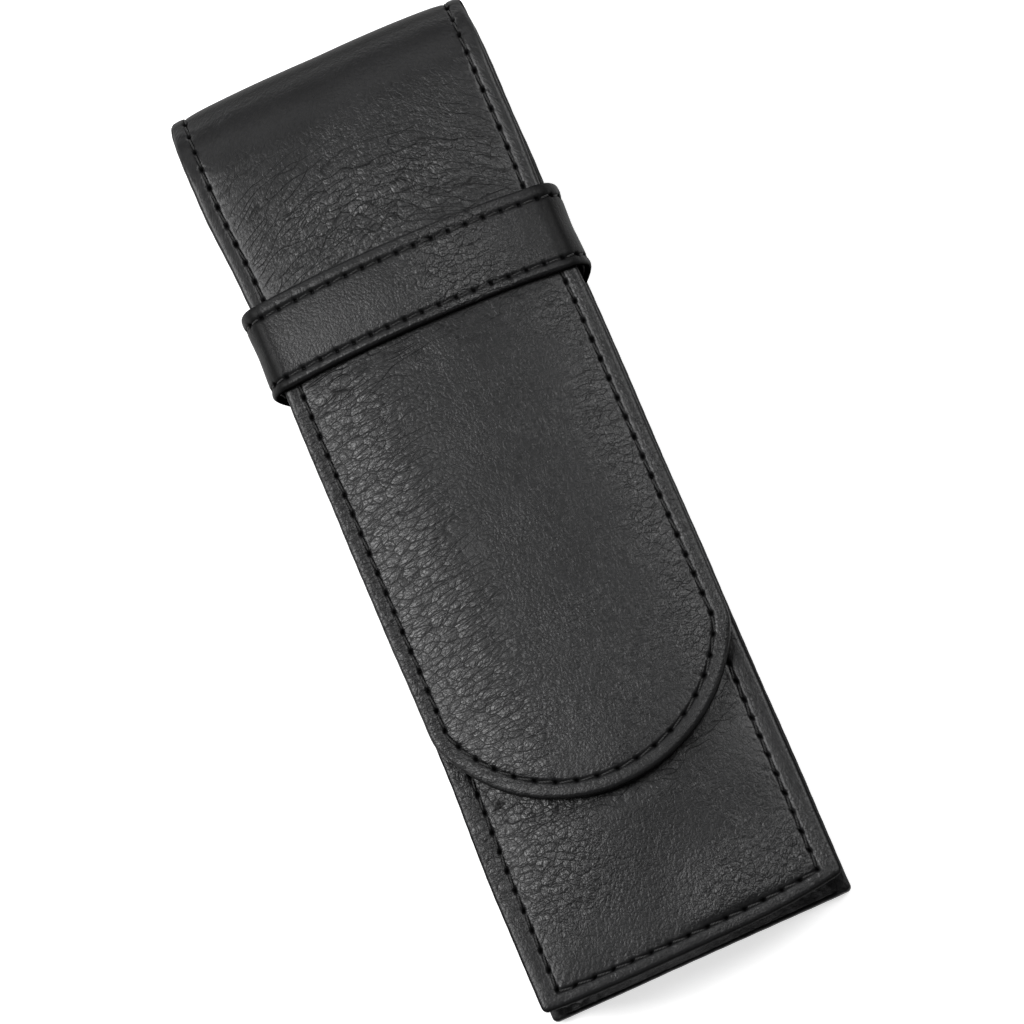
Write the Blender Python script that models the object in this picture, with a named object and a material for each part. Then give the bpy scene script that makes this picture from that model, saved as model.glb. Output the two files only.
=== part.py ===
"""A leather case for two pens, lying on its back with its flap closed.

X runs across the case, Y along it towards the fold at the top, and Z up through its depth.
The origin is the middle of the footprint, on the surface that the case lies on.

The back and the flap are one strip of leather, so their layers are drawn flat, face down on the
bench, as (across, along, depth), and are then folded along the case's side profile. Depth is
counted inwards from the outer face. The strip is cut on the two lines where it folds open.
"""

import math

import bmesh
import bpy

# The whole case
PANEL_WIDTH = 0.053  # back, front and flap, edge to edge
CASE_LENGTH = 0.160  # bottom edge to the outside of the fold
POCKET_DEPTH = 0.012  # between the back's lining and the front's
MOUTH_DROP = 0.018  # pocket mouth, below the outside of the fold
FLAP_REACH = 0.133  # tip of the flap, below the outside of the fold

# Layers of a panel, from the face inwards
COVER = 0.0010  # outer leather
PADDING = 0.0008  # foam between cover and lining
LINING = 0.0006
GLUE = 0.0001  # film between two layers
HEM = 0.00045  # cover's edge, pared thin and turned under
HEM_WIDTH = 0.006
LINING_SETBACK = 0.0015  # lining, in from the panel's edge
EDGE_ROUND = 0.0010  # turned edge, on the face
HEM_ROUND = 0.0005  # turned edge, on the inside

# Corners and ends
BOTTOM_CORNER = 0.0013
MOUTH_CORNER = 0.0018
SMALLEST_CORNER = 0.0002  # what is left of a corner deep inside a panel
SHOULDER_RADIUS = 0.008  # flap, where its side meets its round end
END_RISE = 0.020  # flap's tip, beyond its shoulders

# The fold over the top
REAR_RADIUS = 0.007
FRONT_REACH = 0.014  # the flap comes down to the front over this length
FRONT_DROP = 0.0095  # and over this depth
FOLD_GAP = 0.0003  # between two pieces of a layer at a fold line
FLAP_REST = 0.0003  # flap's lining, above the front

# The pens push the front and the flap out between the seams
CROWN = 0.0009
CROWN_INSET = 0.0046  # it starts here, in from the panel's edge
CROWN_FOOT = 0.025  # it rises over this length from the bottom wall
CROWN_HEAD = 0.0175  # and dies away over this length, up to the fold

# Seams
SEAM_INSET = 0.0027  # stitch line of back and flap, in from the edge
FRONT_SEAM_INSET = 0.0035
FRONT_FOOT_SEAM_INSET = 0.0024  # the same row, at the foot of the front
GROOVE_WIDTH = 0.0008
GROOVE_DEPTH = 0.00055
THREAD = 0.00048
THREAD_SINK = 0.00003  # thread, below the face

# Gusset: the wall round the pocket, a channel whose flanges point inwards
GUSSET = 0.0009
GUSSET_LINING = 0.0005
WEB_INSET = 0.0007  # wall's outer face, in from the panel's edge
FLANGE_INSET = 0.0055  # flanges' inner edge, in from the panel's edge
FLANGE_ROUND = 0.0006  # where wall and flange meet, outside
WEB_BOW = 0.0006  # the wall gives inwards at half depth
GUSSET_CORNER = 0.0026  # upright corner, at the panel's edge
CORNER_GROWTH_SHARE = 0.3  # how fast that corner opens out inwards

# Divider between the pens
DIVIDER = 0.0012
DIVIDER_FOOT = 0.0006
DIVIDER_FOOT_REACH = 0.007
DIVIDER_SHORT = 0.008  # upper end, below the pocket mouth
DIVIDER_AIR = 0.0006  # free edge, below the front's lining
DIVIDER_END_AIR = 0.0003  # lower end, from the gusset's flanges
DIVIDER_NOSE = 0.005  # rounding of the upper free corner
DIVIDER_SEAM = 0.0042  # stitch lines on the foot, from the middle

# Strap
STRAP_WIDTH = 0.0149
STRAP_DROP = 0.0366  # its upper edge, below the outside of the fold
STRAP_COVER = 0.0007
STRAP_HEM = 0.0003
STRAP_HEM_WIDTH = 0.005
STRAP_LINING = 0.0004
STRAP_GLUE = 0.00008
STRAP_LINING_SETBACK = 0.0010
STRAP_AIR = 0.00025  # round the flap and the panels' edges
STRAP_CORNER = 0.0030
STRAP_HEEL = 0.0015  # turn into the back seam
STRAP_TAB = 0.0006  # end pared thin, held in the back seam
STRAP_TAB_SINK = 0.00005  # pared from the face
STRAP_TAB_INSET = 0.0042  # tab's end, in from the panel's edge
STRAP_EDGE_ROUND = 0.0006
STRAP_SEAM_INSET = 0.0021
STRAP_GROOVE_DEPTH = 0.00042
STRAP_THREAD = 0.00036
STRAP_NOTCH_AIR = 0.0003  # gusset, round the tab
STRAP_JOIN = 0.0010  # tab, inside the strap's end
STRAP_BOW = 0.00085  # its middle is drawn this far towards the fold

OVERRUN = 0.010  # how far a cutter or an uncut strip runs past what it serves

# Facets
REAR_STEPS = 8
FRONT_HALF_STEPS = 4
CORNER_STEPS = 3
SHOULDER_STEPS = 4
END_STEPS = 12
EDGE_STEPS = 3
BOW_STEPS = 4
THREAD_SIDES = 5
STRAP_CORNER_STEPS = 5
STRAP_HEEL_STEPS = 3
CROWN_STEPS = 4
SMOOTH_ANGLE = 40  # degrees

# Heights and places that follow
PANEL = COVER + GLUE + PADDING + GLUE + LINING
RIM = COVER + GLUE + PADDING
BOTTOM = -CASE_LENGTH / 2
TOP = CASE_LENGTH / 2
MOUTH = TOP - MOUTH_DROP
BACK_INSIDE = PANEL
FRONT_INSIDE = PANEL + POCKET_DEPTH
FRONT_FACE = FRONT_INSIDE + PANEL
FLAP_FACE = FRONT_FACE + FLAP_REST + PANEL
STRAP_THICKNESS = STRAP_COVER + STRAP_GLUE + STRAP_HEM + STRAP_GLUE + STRAP_LINING
STRAP_FACE = FLAP_FACE + STRAP_AIR + STRAP_THICKNESS
STRAP_SIDE = PANEL_WIDTH / 2 + STRAP_AIR + STRAP_THICKNESS
STRAP_MIDDLE = TOP - STRAP_DROP - STRAP_WIDTH / 2
GUSSET_LOW = BACK_INSIDE + GLUE
GUSSET_HIGH = FRONT_INSIDE - GLUE
CROWN_HALF = PANEL_WIDTH / 2 - CROWN_INSET
CROWN_LOW = BOTTOM + CROWN_INSET
CROWN_TOP = TOP - FRONT_REACH


def clear_scene():
    """Removes whatever the file opened with."""
    for thing in list(bpy.data.objects):
        bpy.data.objects.remove(thing, do_unlink=True)


def make_material(name, colour, roughness):
    """A plain surface of one colour."""
    made = bpy.data.materials.new(name)
    made.use_nodes = True
    shader = made.node_tree.nodes["Principled BSDF"]
    shader.inputs["Base Color"].default_value = (*colour, 1)
    shader.inputs["Roughness"].default_value = roughness
    shader.inputs["Metallic"].default_value = 0
    return made


def make_pivot(name, place, parent=None):
    """An empty on a fold line, or at the case's origin, that carries the pieces of one body."""
    pivot = bpy.data.objects.new(name, None)
    bpy.context.scene.collection.objects.link(pivot)
    pivot.empty_display_size = PANEL_WIDTH / 2
    if parent:
        pivot.parent = parent
    pivot.location = [a - b for a, b in zip(place, parent["place"])] if parent else place
    pivot["place"] = place
    return pivot


def face_outwards(solid):
    """Makes every face of a closed solid look out of it."""
    bmesh.ops.recalc_face_normals(solid, faces=solid.faces)
    if solid.calc_volume(signed=True) < 0:
        bmesh.ops.reverse_faces(solid, faces=solid.faces)


def add_piece(name, mesh_data, material, carrier):
    """Turns a mesh drawn in the case's frame into an object whose origin is its carrier's."""
    face_outwards(mesh_data)
    bmesh.ops.translate(mesh_data, verts=mesh_data.verts, vec=[-v for v in carrier["place"]])
    mesh = bpy.data.meshes.new(name)
    mesh_data.to_mesh(mesh)
    mesh_data.free()
    mesh.shade_smooth()
    mesh.set_sharp_from_angle(angle=math.radians(SMOOTH_ANGLE))
    mesh.materials.append(material)
    piece = bpy.data.objects.new(name, mesh)
    bpy.context.scene.collection.objects.link(piece)
    piece.parent = carrier
    return piece


# Outlines, drawn flat


def arc(centre, radius, start, end, steps):
    """Points on an arc, both ends included. Angles are in degrees, from +X towards +Y."""
    angles = [math.radians(start + (end - start) * k / steps) for k in range(steps + 1)]
    return [(centre[0] + radius * math.cos(a), centre[1] + radius * math.sin(a)) for a in angles]


def corner_radius(radius, inset):
    """What is left of a rounded corner once its outline has moved in."""
    return max(radius - inset, SMALLEST_CORNER)


def box_outline(half_width, low, high, low_radius, high_radius):
    """A rectangle with rounded corners, anticlockwise from the left of its lower edge."""
    turns = (
        (-half_width + low_radius, low + low_radius, low_radius, 180),
        (half_width - low_radius, low + low_radius, low_radius, 270),
        (half_width - high_radius, high - high_radius, high_radius, 0),
        (-half_width + high_radius, high - high_radius, high_radius, 90),
    )
    points = []
    for across, along, radius, start in turns:
        points += arc((across, along), radius, start, start + 90, CORNER_STEPS)
    return points


def foot_inset(inset):
    """The front's inset at its foot, where what lies on its face keeps nearer to the edge."""
    nearer = FRONT_SEAM_INSET - FRONT_FOOT_SEAM_INSET
    return inset - nearer * ease((inset - EDGE_ROUND) / (FRONT_SEAM_INSET - EDGE_ROUND))


def front_outline(inset):
    """The front panel, moved in from its edge."""
    low = corner_radius(BOTTOM_CORNER, inset)
    high = corner_radius(MOUTH_CORNER, inset)
    return box_outline(PANEL_WIDTH / 2 - inset, BOTTOM + foot_inset(inset), MOUTH - inset, low, high)


def gusset_outline(inset):
    """The wall round the pocket. Its corners open out inwards, and it runs on past the mouth."""
    radius = GUSSET_CORNER + CORNER_GROWTH_SHARE * inset
    high = MOUTH + OVERRUN + inset
    return box_outline(PANEL_WIDTH / 2 - inset, BOTTOM + inset, high, radius, radius)


def strip_outline(length):
    """The strip of back and flap, laid flat: square at the bottom, round at the flap's end."""
    half = PANEL_WIDTH / 2
    rise, shoulder = END_RISE, SHOULDER_RADIUS
    end_radius = (half**2 - 2 * half * shoulder + rise**2) / (2 * (rise - shoulder))
    end_centre = length - end_radius
    shoulder_along = length - rise
    turn = math.degrees(math.atan2(shoulder_along - end_centre, half - shoulder))

    def outline(inset):
        low = corner_radius(BOTTOM_CORNER, inset)
        side = half - inset
        points = arc((-side + low, inset + low), low, 180, 270, CORNER_STEPS)
        points += arc((side - low, inset + low), low, 270, 360, CORNER_STEPS)
        small = corner_radius(shoulder, inset)
        right = (half - shoulder, shoulder_along)
        left = (shoulder - half, shoulder_along)
        points += arc(right, small, 0, turn, SHOULDER_STEPS)[:-1]
        points += arc((0, end_centre), end_radius - inset, turn, 180 - turn, END_STEPS)
        points += arc(left, small, 180 - turn, 180, SHOULDER_STEPS)[1:]
        return points

    return outline


# Solids, drawn flat


def ring_solid(outline, rings, closed=False):
    """A solid whose section is the same all round an outline. A ring is (inset, depth).

    The first and last rings are capped, unless the section closes on itself.
    """
    solid = bmesh.new()
    loops = [[solid.verts.new((*point, depth)) for point in outline(inset)] for inset, depth in rings]
    following = loops[1:] + loops[:1] if closed else loops[1:]
    for loop, next_loop in zip(loops, following):
        for k in range(len(loop)):
            n = (k + 1) % len(loop)
            solid.faces.new((loop[k], loop[n], next_loop[n], next_loop[k]))
    if not closed:
        solid.faces.new(loops[0])
        solid.faces.new(loops[-1])
    face_outwards(solid)
    return solid


def prism(section, start, end):
    """A section of (across, depth) points, drawn out along the strip."""
    solid = bmesh.new()
    loops = [[solid.verts.new((across, along, depth)) for across, depth in section] for along in (start, end)]
    for k in range(len(section)):
        n = (k + 1) % len(section)
        solid.faces.new((loops[0][k], loops[0][n], loops[1][n], loops[1][k]))
    solid.faces.new(loops[0])
    solid.faces.new(loops[1])
    face_outwards(solid)
    return solid


def keep_between(solid, start=None, end=None):
    """Cuts a flat solid square across at one or both places along it, and closes the cuts."""
    for place, outward in ((start, -1), (end, 1)):
        if place is None:
            continue
        everything = solid.verts[:] + solid.edges[:] + solid.faces[:]
        cut = bmesh.ops.bisect_plane(
            solid, geom=everything, plane_co=(0, place, 0), plane_no=(0, outward, 0), clear_outer=True
        )
        rim = [part for part in cut["geom_cut"] if isinstance(part, bmesh.types.BMEdge)]
        bmesh.ops.holes_fill(solid, edges=rim, sides=0)
    return solid


def turned_cover_rings(seam):
    """The section of a cover whose edge is turned under, from the face round to the inside."""
    near, far = seam - GROOVE_WIDTH / 2, seam + GROOVE_WIDTH / 2
    rings = [(far, 0), (far, GROOVE_DEPTH), (near, GROOVE_DEPTH), (near, 0)]
    rings += arc((EDGE_ROUND, EDGE_ROUND), EDGE_ROUND, 270, 180, EDGE_STEPS)
    rings += arc((HEM_ROUND, RIM - HEM_ROUND), HEM_ROUND, 180, 90, EDGE_STEPS)
    return rings + [(HEM_WIDTH, RIM), (HEM_WIDTH, RIM - HEM), (COVER, RIM - HEM), (COVER, COVER)]


def panel_rings(seam):
    """The three layers of a panel, as sections round its edge. seam is its stitch line's inset."""
    cover = turned_cover_rings(seam)
    side = COVER + GLUE
    step = HEM_WIDTH + GLUE
    padding = [(side, side), (side, RIM - HEM - GLUE), (step, RIM - HEM - GLUE), (step, RIM)]
    lining = [(LINING_SETBACK, RIM + GLUE), (LINING_SETBACK, PANEL)]
    return {"cover": cover, "padding": padding, "lining": lining}


def thread(points, radius, round_trip=False):
    """A sewn row as one thread, lying in its groove along flat points of (across, along, depth).

    Its section keeps square to the row, in the plane of the strip's depth.
    """
    solid = bmesh.new()
    count = len(points)
    loops = []
    for k, (across, along, depth) in enumerate(points):
        before = points[k - 1] if k or round_trip else points[k]
        after = points[(k + 1) % count] if k < count - 1 or round_trip else points[k]
        ahead_in = unit(across - before[0], along - before[1])
        ahead_out = unit(after[0] - across, after[1] - along)
        ahead_in = ahead_in or ahead_out
        ahead_out = ahead_out or ahead_in
        middle = unit(ahead_in[0] + ahead_out[0], ahead_in[1] + ahead_out[1])
        stretch = 1 / (middle[0] * ahead_in[0] + middle[1] * ahead_in[1])
        loop = []
        for side in range(THREAD_SIDES):
            angle = 2 * math.pi * side / THREAD_SIDES
            out = radius * math.cos(angle) * stretch
            place = (across + middle[1] * out, along - middle[0] * out, depth + radius * math.sin(angle))
            loop.append(solid.verts.new(place))
        loops.append(loop)
    following = loops[1:] + loops[:1] if round_trip else loops[1:]
    for loop, next_loop in zip(loops, following):
        for k in range(THREAD_SIDES):
            n = (k + 1) % THREAD_SIDES
            solid.faces.new((loop[k], loop[n], next_loop[n], next_loop[k]))
    if not round_trip:
        solid.faces.new(loops[0])
        solid.faces.new(loops[-1])
    face_outwards(solid)
    return solid


def unit(across, along):
    """A direction of length one, or None where there is none."""
    size = math.hypot(across, along)
    return (across / size, along / size) if size else None


# The crown


def crown_across(across):
    """The crown's share of its height, across the case: broad over two pens, level at the seams."""
    share = min(abs(across) / CROWN_HALF, 1)
    return (1 - share**4) ** 2


def ease(share):
    """A smooth step from 0 to 1."""
    share = min(max(share, 0), 1)
    return share * share * (3 - 2 * share)


def crown_along(place):
    """The crown's share of its height, along the case."""
    return ease((place - CROWN_LOW) / CROWN_FOOT) * ease((CROWN_TOP - place) / CROWN_HEAD)


def score(solid, places, axis):
    """Adds edges to a solid where planes square to an axis cross it."""
    normal = [float(k == axis) for k in range(3)]
    for place in places:
        everything = solid.verts[:] + solid.edges[:] + solid.faces[:]
        point = [place * n for n in normal]
        bmesh.ops.bisect_plane(solid, geom=everything, plane_co=point, plane_no=normal)


def crown_flat(solid, along_of_place):
    """Pushes a flat front or flap layer out over the pens.

    along_of_place gives where a place along the case lies along the flat piece, and back again.
    """
    steps = [k / CROWN_STEPS for k in range(CROWN_STEPS + 1)]
    across = {side * CROWN_HALF * share for share in steps for side in (-1, 1)}
    places = [CROWN_LOW + CROWN_FOOT * share for share in steps]
    places += [CROWN_TOP - CROWN_HEAD * share for share in steps]
    score(solid, sorted(across), 0)
    score(solid, sorted(along_of_place(place) for place in places), 1)
    for vertex in solid.verts:
        rise = crown_across(vertex.co.x) * crown_along(along_of_place(vertex.co.y))
        vertex.co.z -= CROWN * rise
    return solid


# Folding


class Fold:
    """A side profile that a flat solid is folded along.

    turn is 1 where the inside lies to the left of the way along the profile, and -1 to the right.
    """

    def __init__(self, points, turn):
        self.points = points
        self.turn = turn
        self.lengths = [0]
        for here, there in zip(points, points[1:]):
            self.lengths.append(self.lengths[-1] + math.dist(here, there))
        ways = [unit(b[0] - a[0], b[1] - a[1]) for a, b in zip(points, points[1:])]
        self.inward = []
        for k in range(len(points)):
            first, second = ways[max(k - 1, 0)], ways[min(k, len(ways) - 1)]
            middle = unit(first[0] + second[0], first[1] + second[1])
            stretch = 1 / (middle[0] * first[0] + middle[1] * first[1])
            self.inward.append((-middle[1] * turn * stretch, middle[0] * turn * stretch))

    def place(self, along, depth):
        """Where a point of the flat piece lies once it is folded, in the profile's plane."""
        k = 0
        while k < len(self.points) - 2 and along > self.lengths[k + 1]:
            k += 1
        share = (along - self.lengths[k]) / (self.lengths[k + 1] - self.lengths[k])
        spot = []
        for axis in (0, 1):
            near = self.points[k][axis] + depth * self.inward[k][axis]
            far = self.points[k + 1][axis] + depth * self.inward[k + 1][axis]
            spot.append(near + (far - near) * share)
        return spot

    def bend(self, solid, across_axis):
        """Folds a flat solid. across_axis is the case's axis that runs along the fold lines."""
        span = [v.co.y for v in solid.verts]
        score(solid, [place for place in self.lengths[1:-1] if min(span) < place < max(span)], 1)
        for vertex in solid.verts:
            across, along, depth = vertex.co
            first, second = self.place(along, depth)
            vertex.co = (across, first, second) if across_axis == "X" else (first, across, second)
        return solid


def diagonal_angle(reach, drop):
    """The angle at which a quarter ellipse meets the diagonal of its corner, in degrees.

    A fold line there brings the flap flat with the back when it is open.
    """
    low, high = 0.0, 90.0
    for _ in range(50):
        middle = (low + high) / 2
        angle = math.radians(middle)
        if reach * (1 - math.cos(angle)) < drop * (1 - math.sin(angle)):
            low = middle
        else:
            high = middle
    return low


def case_profile():
    """The outer face of back and flap, seen from the side, and the places of its two fold lines."""
    points = [(BOTTOM, 0)]
    points += arc((TOP - REAR_RADIUS, REAR_RADIUS), REAR_RADIUS, 270, 360, REAR_STEPS)
    rear_line = 1 + REAR_STEPS // 2
    centre = (TOP - FRONT_REACH, FLAP_FACE - FRONT_DROP)
    fold_angle = diagonal_angle(FRONT_REACH, FRONT_DROP)
    angles = [fold_angle * k / FRONT_HALF_STEPS for k in range(FRONT_HALF_STEPS)]
    angles += [fold_angle + (90 - fold_angle) * k / FRONT_HALF_STEPS for k in range(FRONT_HALF_STEPS + 1)]
    front_line = len(points) + FRONT_HALF_STEPS
    for angle in map(math.radians, angles):
        points.append((centre[0] + FRONT_REACH * math.cos(angle), centre[1] + FRONT_DROP * math.sin(angle)))
    points.append((TOP - FLAP_REACH, FLAP_FACE))
    return Fold(points, 1), rear_line, front_line


def strap_profile():
    """The outer face of the strap, seen along the case, from its left tab to its right one."""
    tab_end = PANEL_WIDTH / 2 - STRAP_TAB_INSET
    heel = (STRAP_SIDE - STRAP_HEEL, GUSSET_LOW + STRAP_HEEL)
    shoulder = (STRAP_SIDE - STRAP_CORNER, STRAP_FACE - STRAP_CORNER)
    right = [(CROWN_HALF * k / CROWN_STEPS, STRAP_FACE) for k in range(CROWN_STEPS + 1)]
    right = [(across, height + CROWN * crown_across(across)) for across, height in right]
    right += arc(shoulder, STRAP_CORNER, 90, 0, STRAP_CORNER_STEPS)
    right += arc(heel, STRAP_HEEL, 0, -90, STRAP_HEEL_STEPS)
    right.append((tab_end, GUSSET_LOW))
    left = [(-across, height) for across, height in reversed(right[1:])]
    return Fold(left + right, -1)


# The pieces


def make_strip(materials, carriers):
    """Back, top of the flap and flap: three layers and a sewn row, each cut on the fold lines."""
    profile, rear_line, front_line = case_profile()
    length = profile.lengths[-1]
    outline = strip_outline(length)
    rear, front = profile.lengths[rear_line], profile.lengths[front_line]
    stretches = {
        "back": (None, rear - FOLD_GAP / 2),
        "top": (rear + FOLD_GAP / 2, front - FOLD_GAP / 2),
        "flap": (front + FOLD_GAP / 2, None),
    }

    def flap_place(place):
        return TOP - FLAP_REACH + length - place

    for layer, rings in panel_rings(SEAM_INSET).items():
        for part, (start, end) in stretches.items():
            solid = keep_between(ring_solid(outline, rings), start, end)
            if part == "flap":
                crown_flat(solid, flap_place)
            add_piece(f"{part}_{layer}", profile.bend(solid, "X"), materials[layer], carriers[part])
    seam = [(*point, THREAD_SINK + THREAD / 2) for point in outline(SEAM_INSET)]
    row = keep_between(thread(seam, THREAD / 2, round_trip=True), None, rear - FOLD_GAP / 2)
    add_piece("back_stitching", profile.bend(row, "X"), materials["thread"], carriers["back"])
    row = keep_between(thread(seam, THREAD / 2, round_trip=True), front + FOLD_GAP / 2, None)
    crown_flat(row, flap_place)
    add_piece("flap_stitching", profile.bend(row, "X"), materials["thread"], carriers["flap"])
    start, end = stretches["top"]
    for side, name in ((-1, "left"), (1, "right")):
        across = side * (PANEL_WIDTH / 2 - SEAM_INSET)
        points = [(across, along, THREAD_SINK + THREAD / 2) for along in (start, end)]
        row = profile.bend(thread(points, THREAD / 2), "X")
        add_piece(f"top_stitching_{name}", row, materials["thread"], carriers["top"])


def case_place(place):
    """The front is drawn flat at its own place along the case."""
    return place


def lay_face_up(solid, face):
    """Turns a flat solid over, so that its face looks up at the given height."""
    for vertex in solid.verts:
        across, along, depth = vertex.co
        vertex.co = (-across, along, face - depth)
    return solid


def make_front(materials, carrier):
    """The front panel: its cover is turned under all round, and one sewn row follows its edge."""
    for layer, rings in panel_rings(FRONT_SEAM_INSET).items():
        solid = crown_flat(ring_solid(front_outline, rings), case_place)
        lay_face_up(solid, FRONT_FACE)
        add_piece(f"front_{layer}", solid, materials[layer], carrier)
    seam = [(*point, THREAD_SINK + THREAD / 2) for point in front_outline(FRONT_SEAM_INSET)]
    row = crown_flat(thread(seam, THREAD / 2, round_trip=True), case_place)
    lay_face_up(row, FRONT_FACE)
    add_piece("front_stitching", row, materials["thread"], carrier)


def make_gusset(materials, carrier):
    """The wall round the pocket on three sides, and the lining between its flanges."""
    steps = [k / BOW_STEPS for k in range(BOW_STEPS + 1)]
    outside = wall_face(WEB_INSET, GUSSET_LOW + FLANGE_ROUND, GUSSET_HIGH - FLANGE_ROUND, steps)
    inside = wall_face(WEB_INSET + GUSSET, GUSSET_LOW + GUSSET, GUSSET_HIGH - GUSSET, steps)
    section = [(WEB_INSET + FLANGE_ROUND, GUSSET_LOW), *outside, (WEB_INSET + FLANGE_ROUND, GUSSET_HIGH)]
    section += [(FLANGE_INSET, GUSSET_HIGH), (FLANGE_INSET, GUSSET_HIGH - GUSSET)]
    section += [*reversed(inside), (FLANGE_INSET, GUSSET_LOW + GUSSET), (FLANGE_INSET, GUSSET_LOW)]
    wall = keep_between(ring_solid(gusset_outline, section, closed=True), None, MOUTH)
    gusset = add_piece("gusset", wall, materials["cover"], carrier)
    cut_strap_notches(gusset)

    low, high = GUSSET_LOW + GUSSET + GLUE, GUSSET_HIGH - GUSSET - GLUE
    near = WEB_INSET + GUSSET + GLUE
    section = wall_face(near, low, high, steps)
    section += reversed(wall_face(near + GUSSET_LINING, low, high, steps))
    wall = keep_between(ring_solid(gusset_outline, section, closed=True), None, MOUTH)
    add_piece("gusset_lining", wall, materials["lining"], carrier)


def wall_face(inset, low, high, steps):
    """One face of the gusset's wall, which gives inwards at half depth."""
    return [(inset + WEB_BOW * math.sin(math.pi * share), low + (high - low) * share) for share in steps]


def cut_strap_notches(gusset):
    """Takes the foot of the wall away where the strap's tabs lie in the seam."""
    near = PANEL_WIDTH / 2 - STRAP_TAB_INSET - STRAP_NOTCH_AIR
    half = STRAP_WIDTH / 2 + STRAP_NOTCH_AIR
    low, high = GUSSET_LOW - OVERRUN, GUSSET_LOW + GUSSET + STRAP_NOTCH_AIR
    notch = bmesh.new()
    for side in (-1, 1):
        box = bmesh.ops.create_cube(notch, size=1)["verts"]
        spans = (
            sorted((side * near, side * (near + OVERRUN))),
            (STRAP_MIDDLE - half, STRAP_MIDDLE + half),
            (low, high),
        )
        for vertex in box:
            vertex.co = [first + (last - first) * (c + 0.5) for c, (first, last) in zip(vertex.co, spans)]
    mesh = bpy.data.meshes.new("strap_notch")
    notch.to_mesh(mesh)
    notch.free()
    cutter = bpy.data.objects.new("strap_notch", mesh)
    bpy.context.scene.collection.objects.link(cutter)
    cutter.hide_render = True
    cutter.display_type = "WIRE"
    cut = gusset.modifiers.new("strap_notches", "BOOLEAN")
    cut.operation = "DIFFERENCE"
    cut.object = cutter


def make_divider(materials, carrier):
    """A leather wall between the pens, on a foot that is sewn to the back's lining."""
    low, high = GUSSET_LOW, FRONT_INSIDE - DIVIDER_AIR
    foot = low + DIVIDER_FOOT
    half = DIVIDER / 2
    reach = DIVIDER_FOOT_REACH
    section = [(-reach, low), (reach, low), (reach, foot), (half, foot)]
    section += [(half, high), (-half, high), (-half, foot), (-reach, foot)]
    start, end = BOTTOM + FLANGE_INSET + DIVIDER_END_AIR, MOUTH - DIVIDER_SHORT
    wall = prism(section, start, end)
    nose = [
        edge
        for edge in wall.edges
        if all(v.co.y > end - GLUE and v.co.z > high - GLUE for v in edge.verts)
    ]
    bmesh.ops.bevel(wall, geom=nose, offset=DIVIDER_NOSE, segments=CORNER_STEPS, affect="EDGES")
    add_piece("pen_divider", wall, materials["lining"], carrier)
    for side, name in ((-1, "left"), (1, "right")):
        height = foot + GLUE + THREAD / 2
        points = [(side * DIVIDER_SEAM, along, height) for along in (start + SEAM_INSET, end - SEAM_INSET)]
        row = thread(points, THREAD / 2)
        add_piece(f"divider_stitching_{name}", row, materials["thread"], carrier)


def strap_section():
    """Across the strap: the cover turned under at both edges, with a groove for each sewn row."""
    half = STRAP_WIDTH / 2
    seam = half - STRAP_SEAM_INSET
    near, far = seam - GROOVE_WIDTH / 2, seam + GROOVE_WIDTH / 2
    rim = STRAP_COVER + STRAP_GLUE + STRAP_HEM
    hem_end = half - STRAP_HEM_WIDTH
    right = [(near, 0), (near, STRAP_GROOVE_DEPTH), (far, STRAP_GROOVE_DEPTH), (far, 0)]
    right += arc((half - STRAP_EDGE_ROUND, STRAP_EDGE_ROUND), STRAP_EDGE_ROUND, 270, 360, EDGE_STEPS)
    right += [(half, rim), (hem_end, rim), (hem_end, rim - STRAP_HEM)]
    right += [(half - STRAP_COVER, rim - STRAP_HEM), (half - STRAP_COVER, STRAP_COVER)]
    return right + [(-across, depth) for across, depth in reversed(right)]


def bow(solid):
    """Draws the middle of the folded strap towards the fold of the case."""
    half = STRAP_SIDE - STRAP_CORNER
    for vertex in solid.verts:
        share = min(abs(vertex.co.x) / half, 1)
        vertex.co.y += STRAP_BOW * (1 - share * share)
    return solid


def centred(points):
    """Moves a section from the case's origin to the middle of the strap."""
    return [(across + STRAP_MIDDLE, depth) for across, depth in points]


def rectangle(half, near, far):
    """A plain section, as (across, depth)."""
    return [(-half, near), (half, near), (half, far), (-half, far)]


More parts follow.
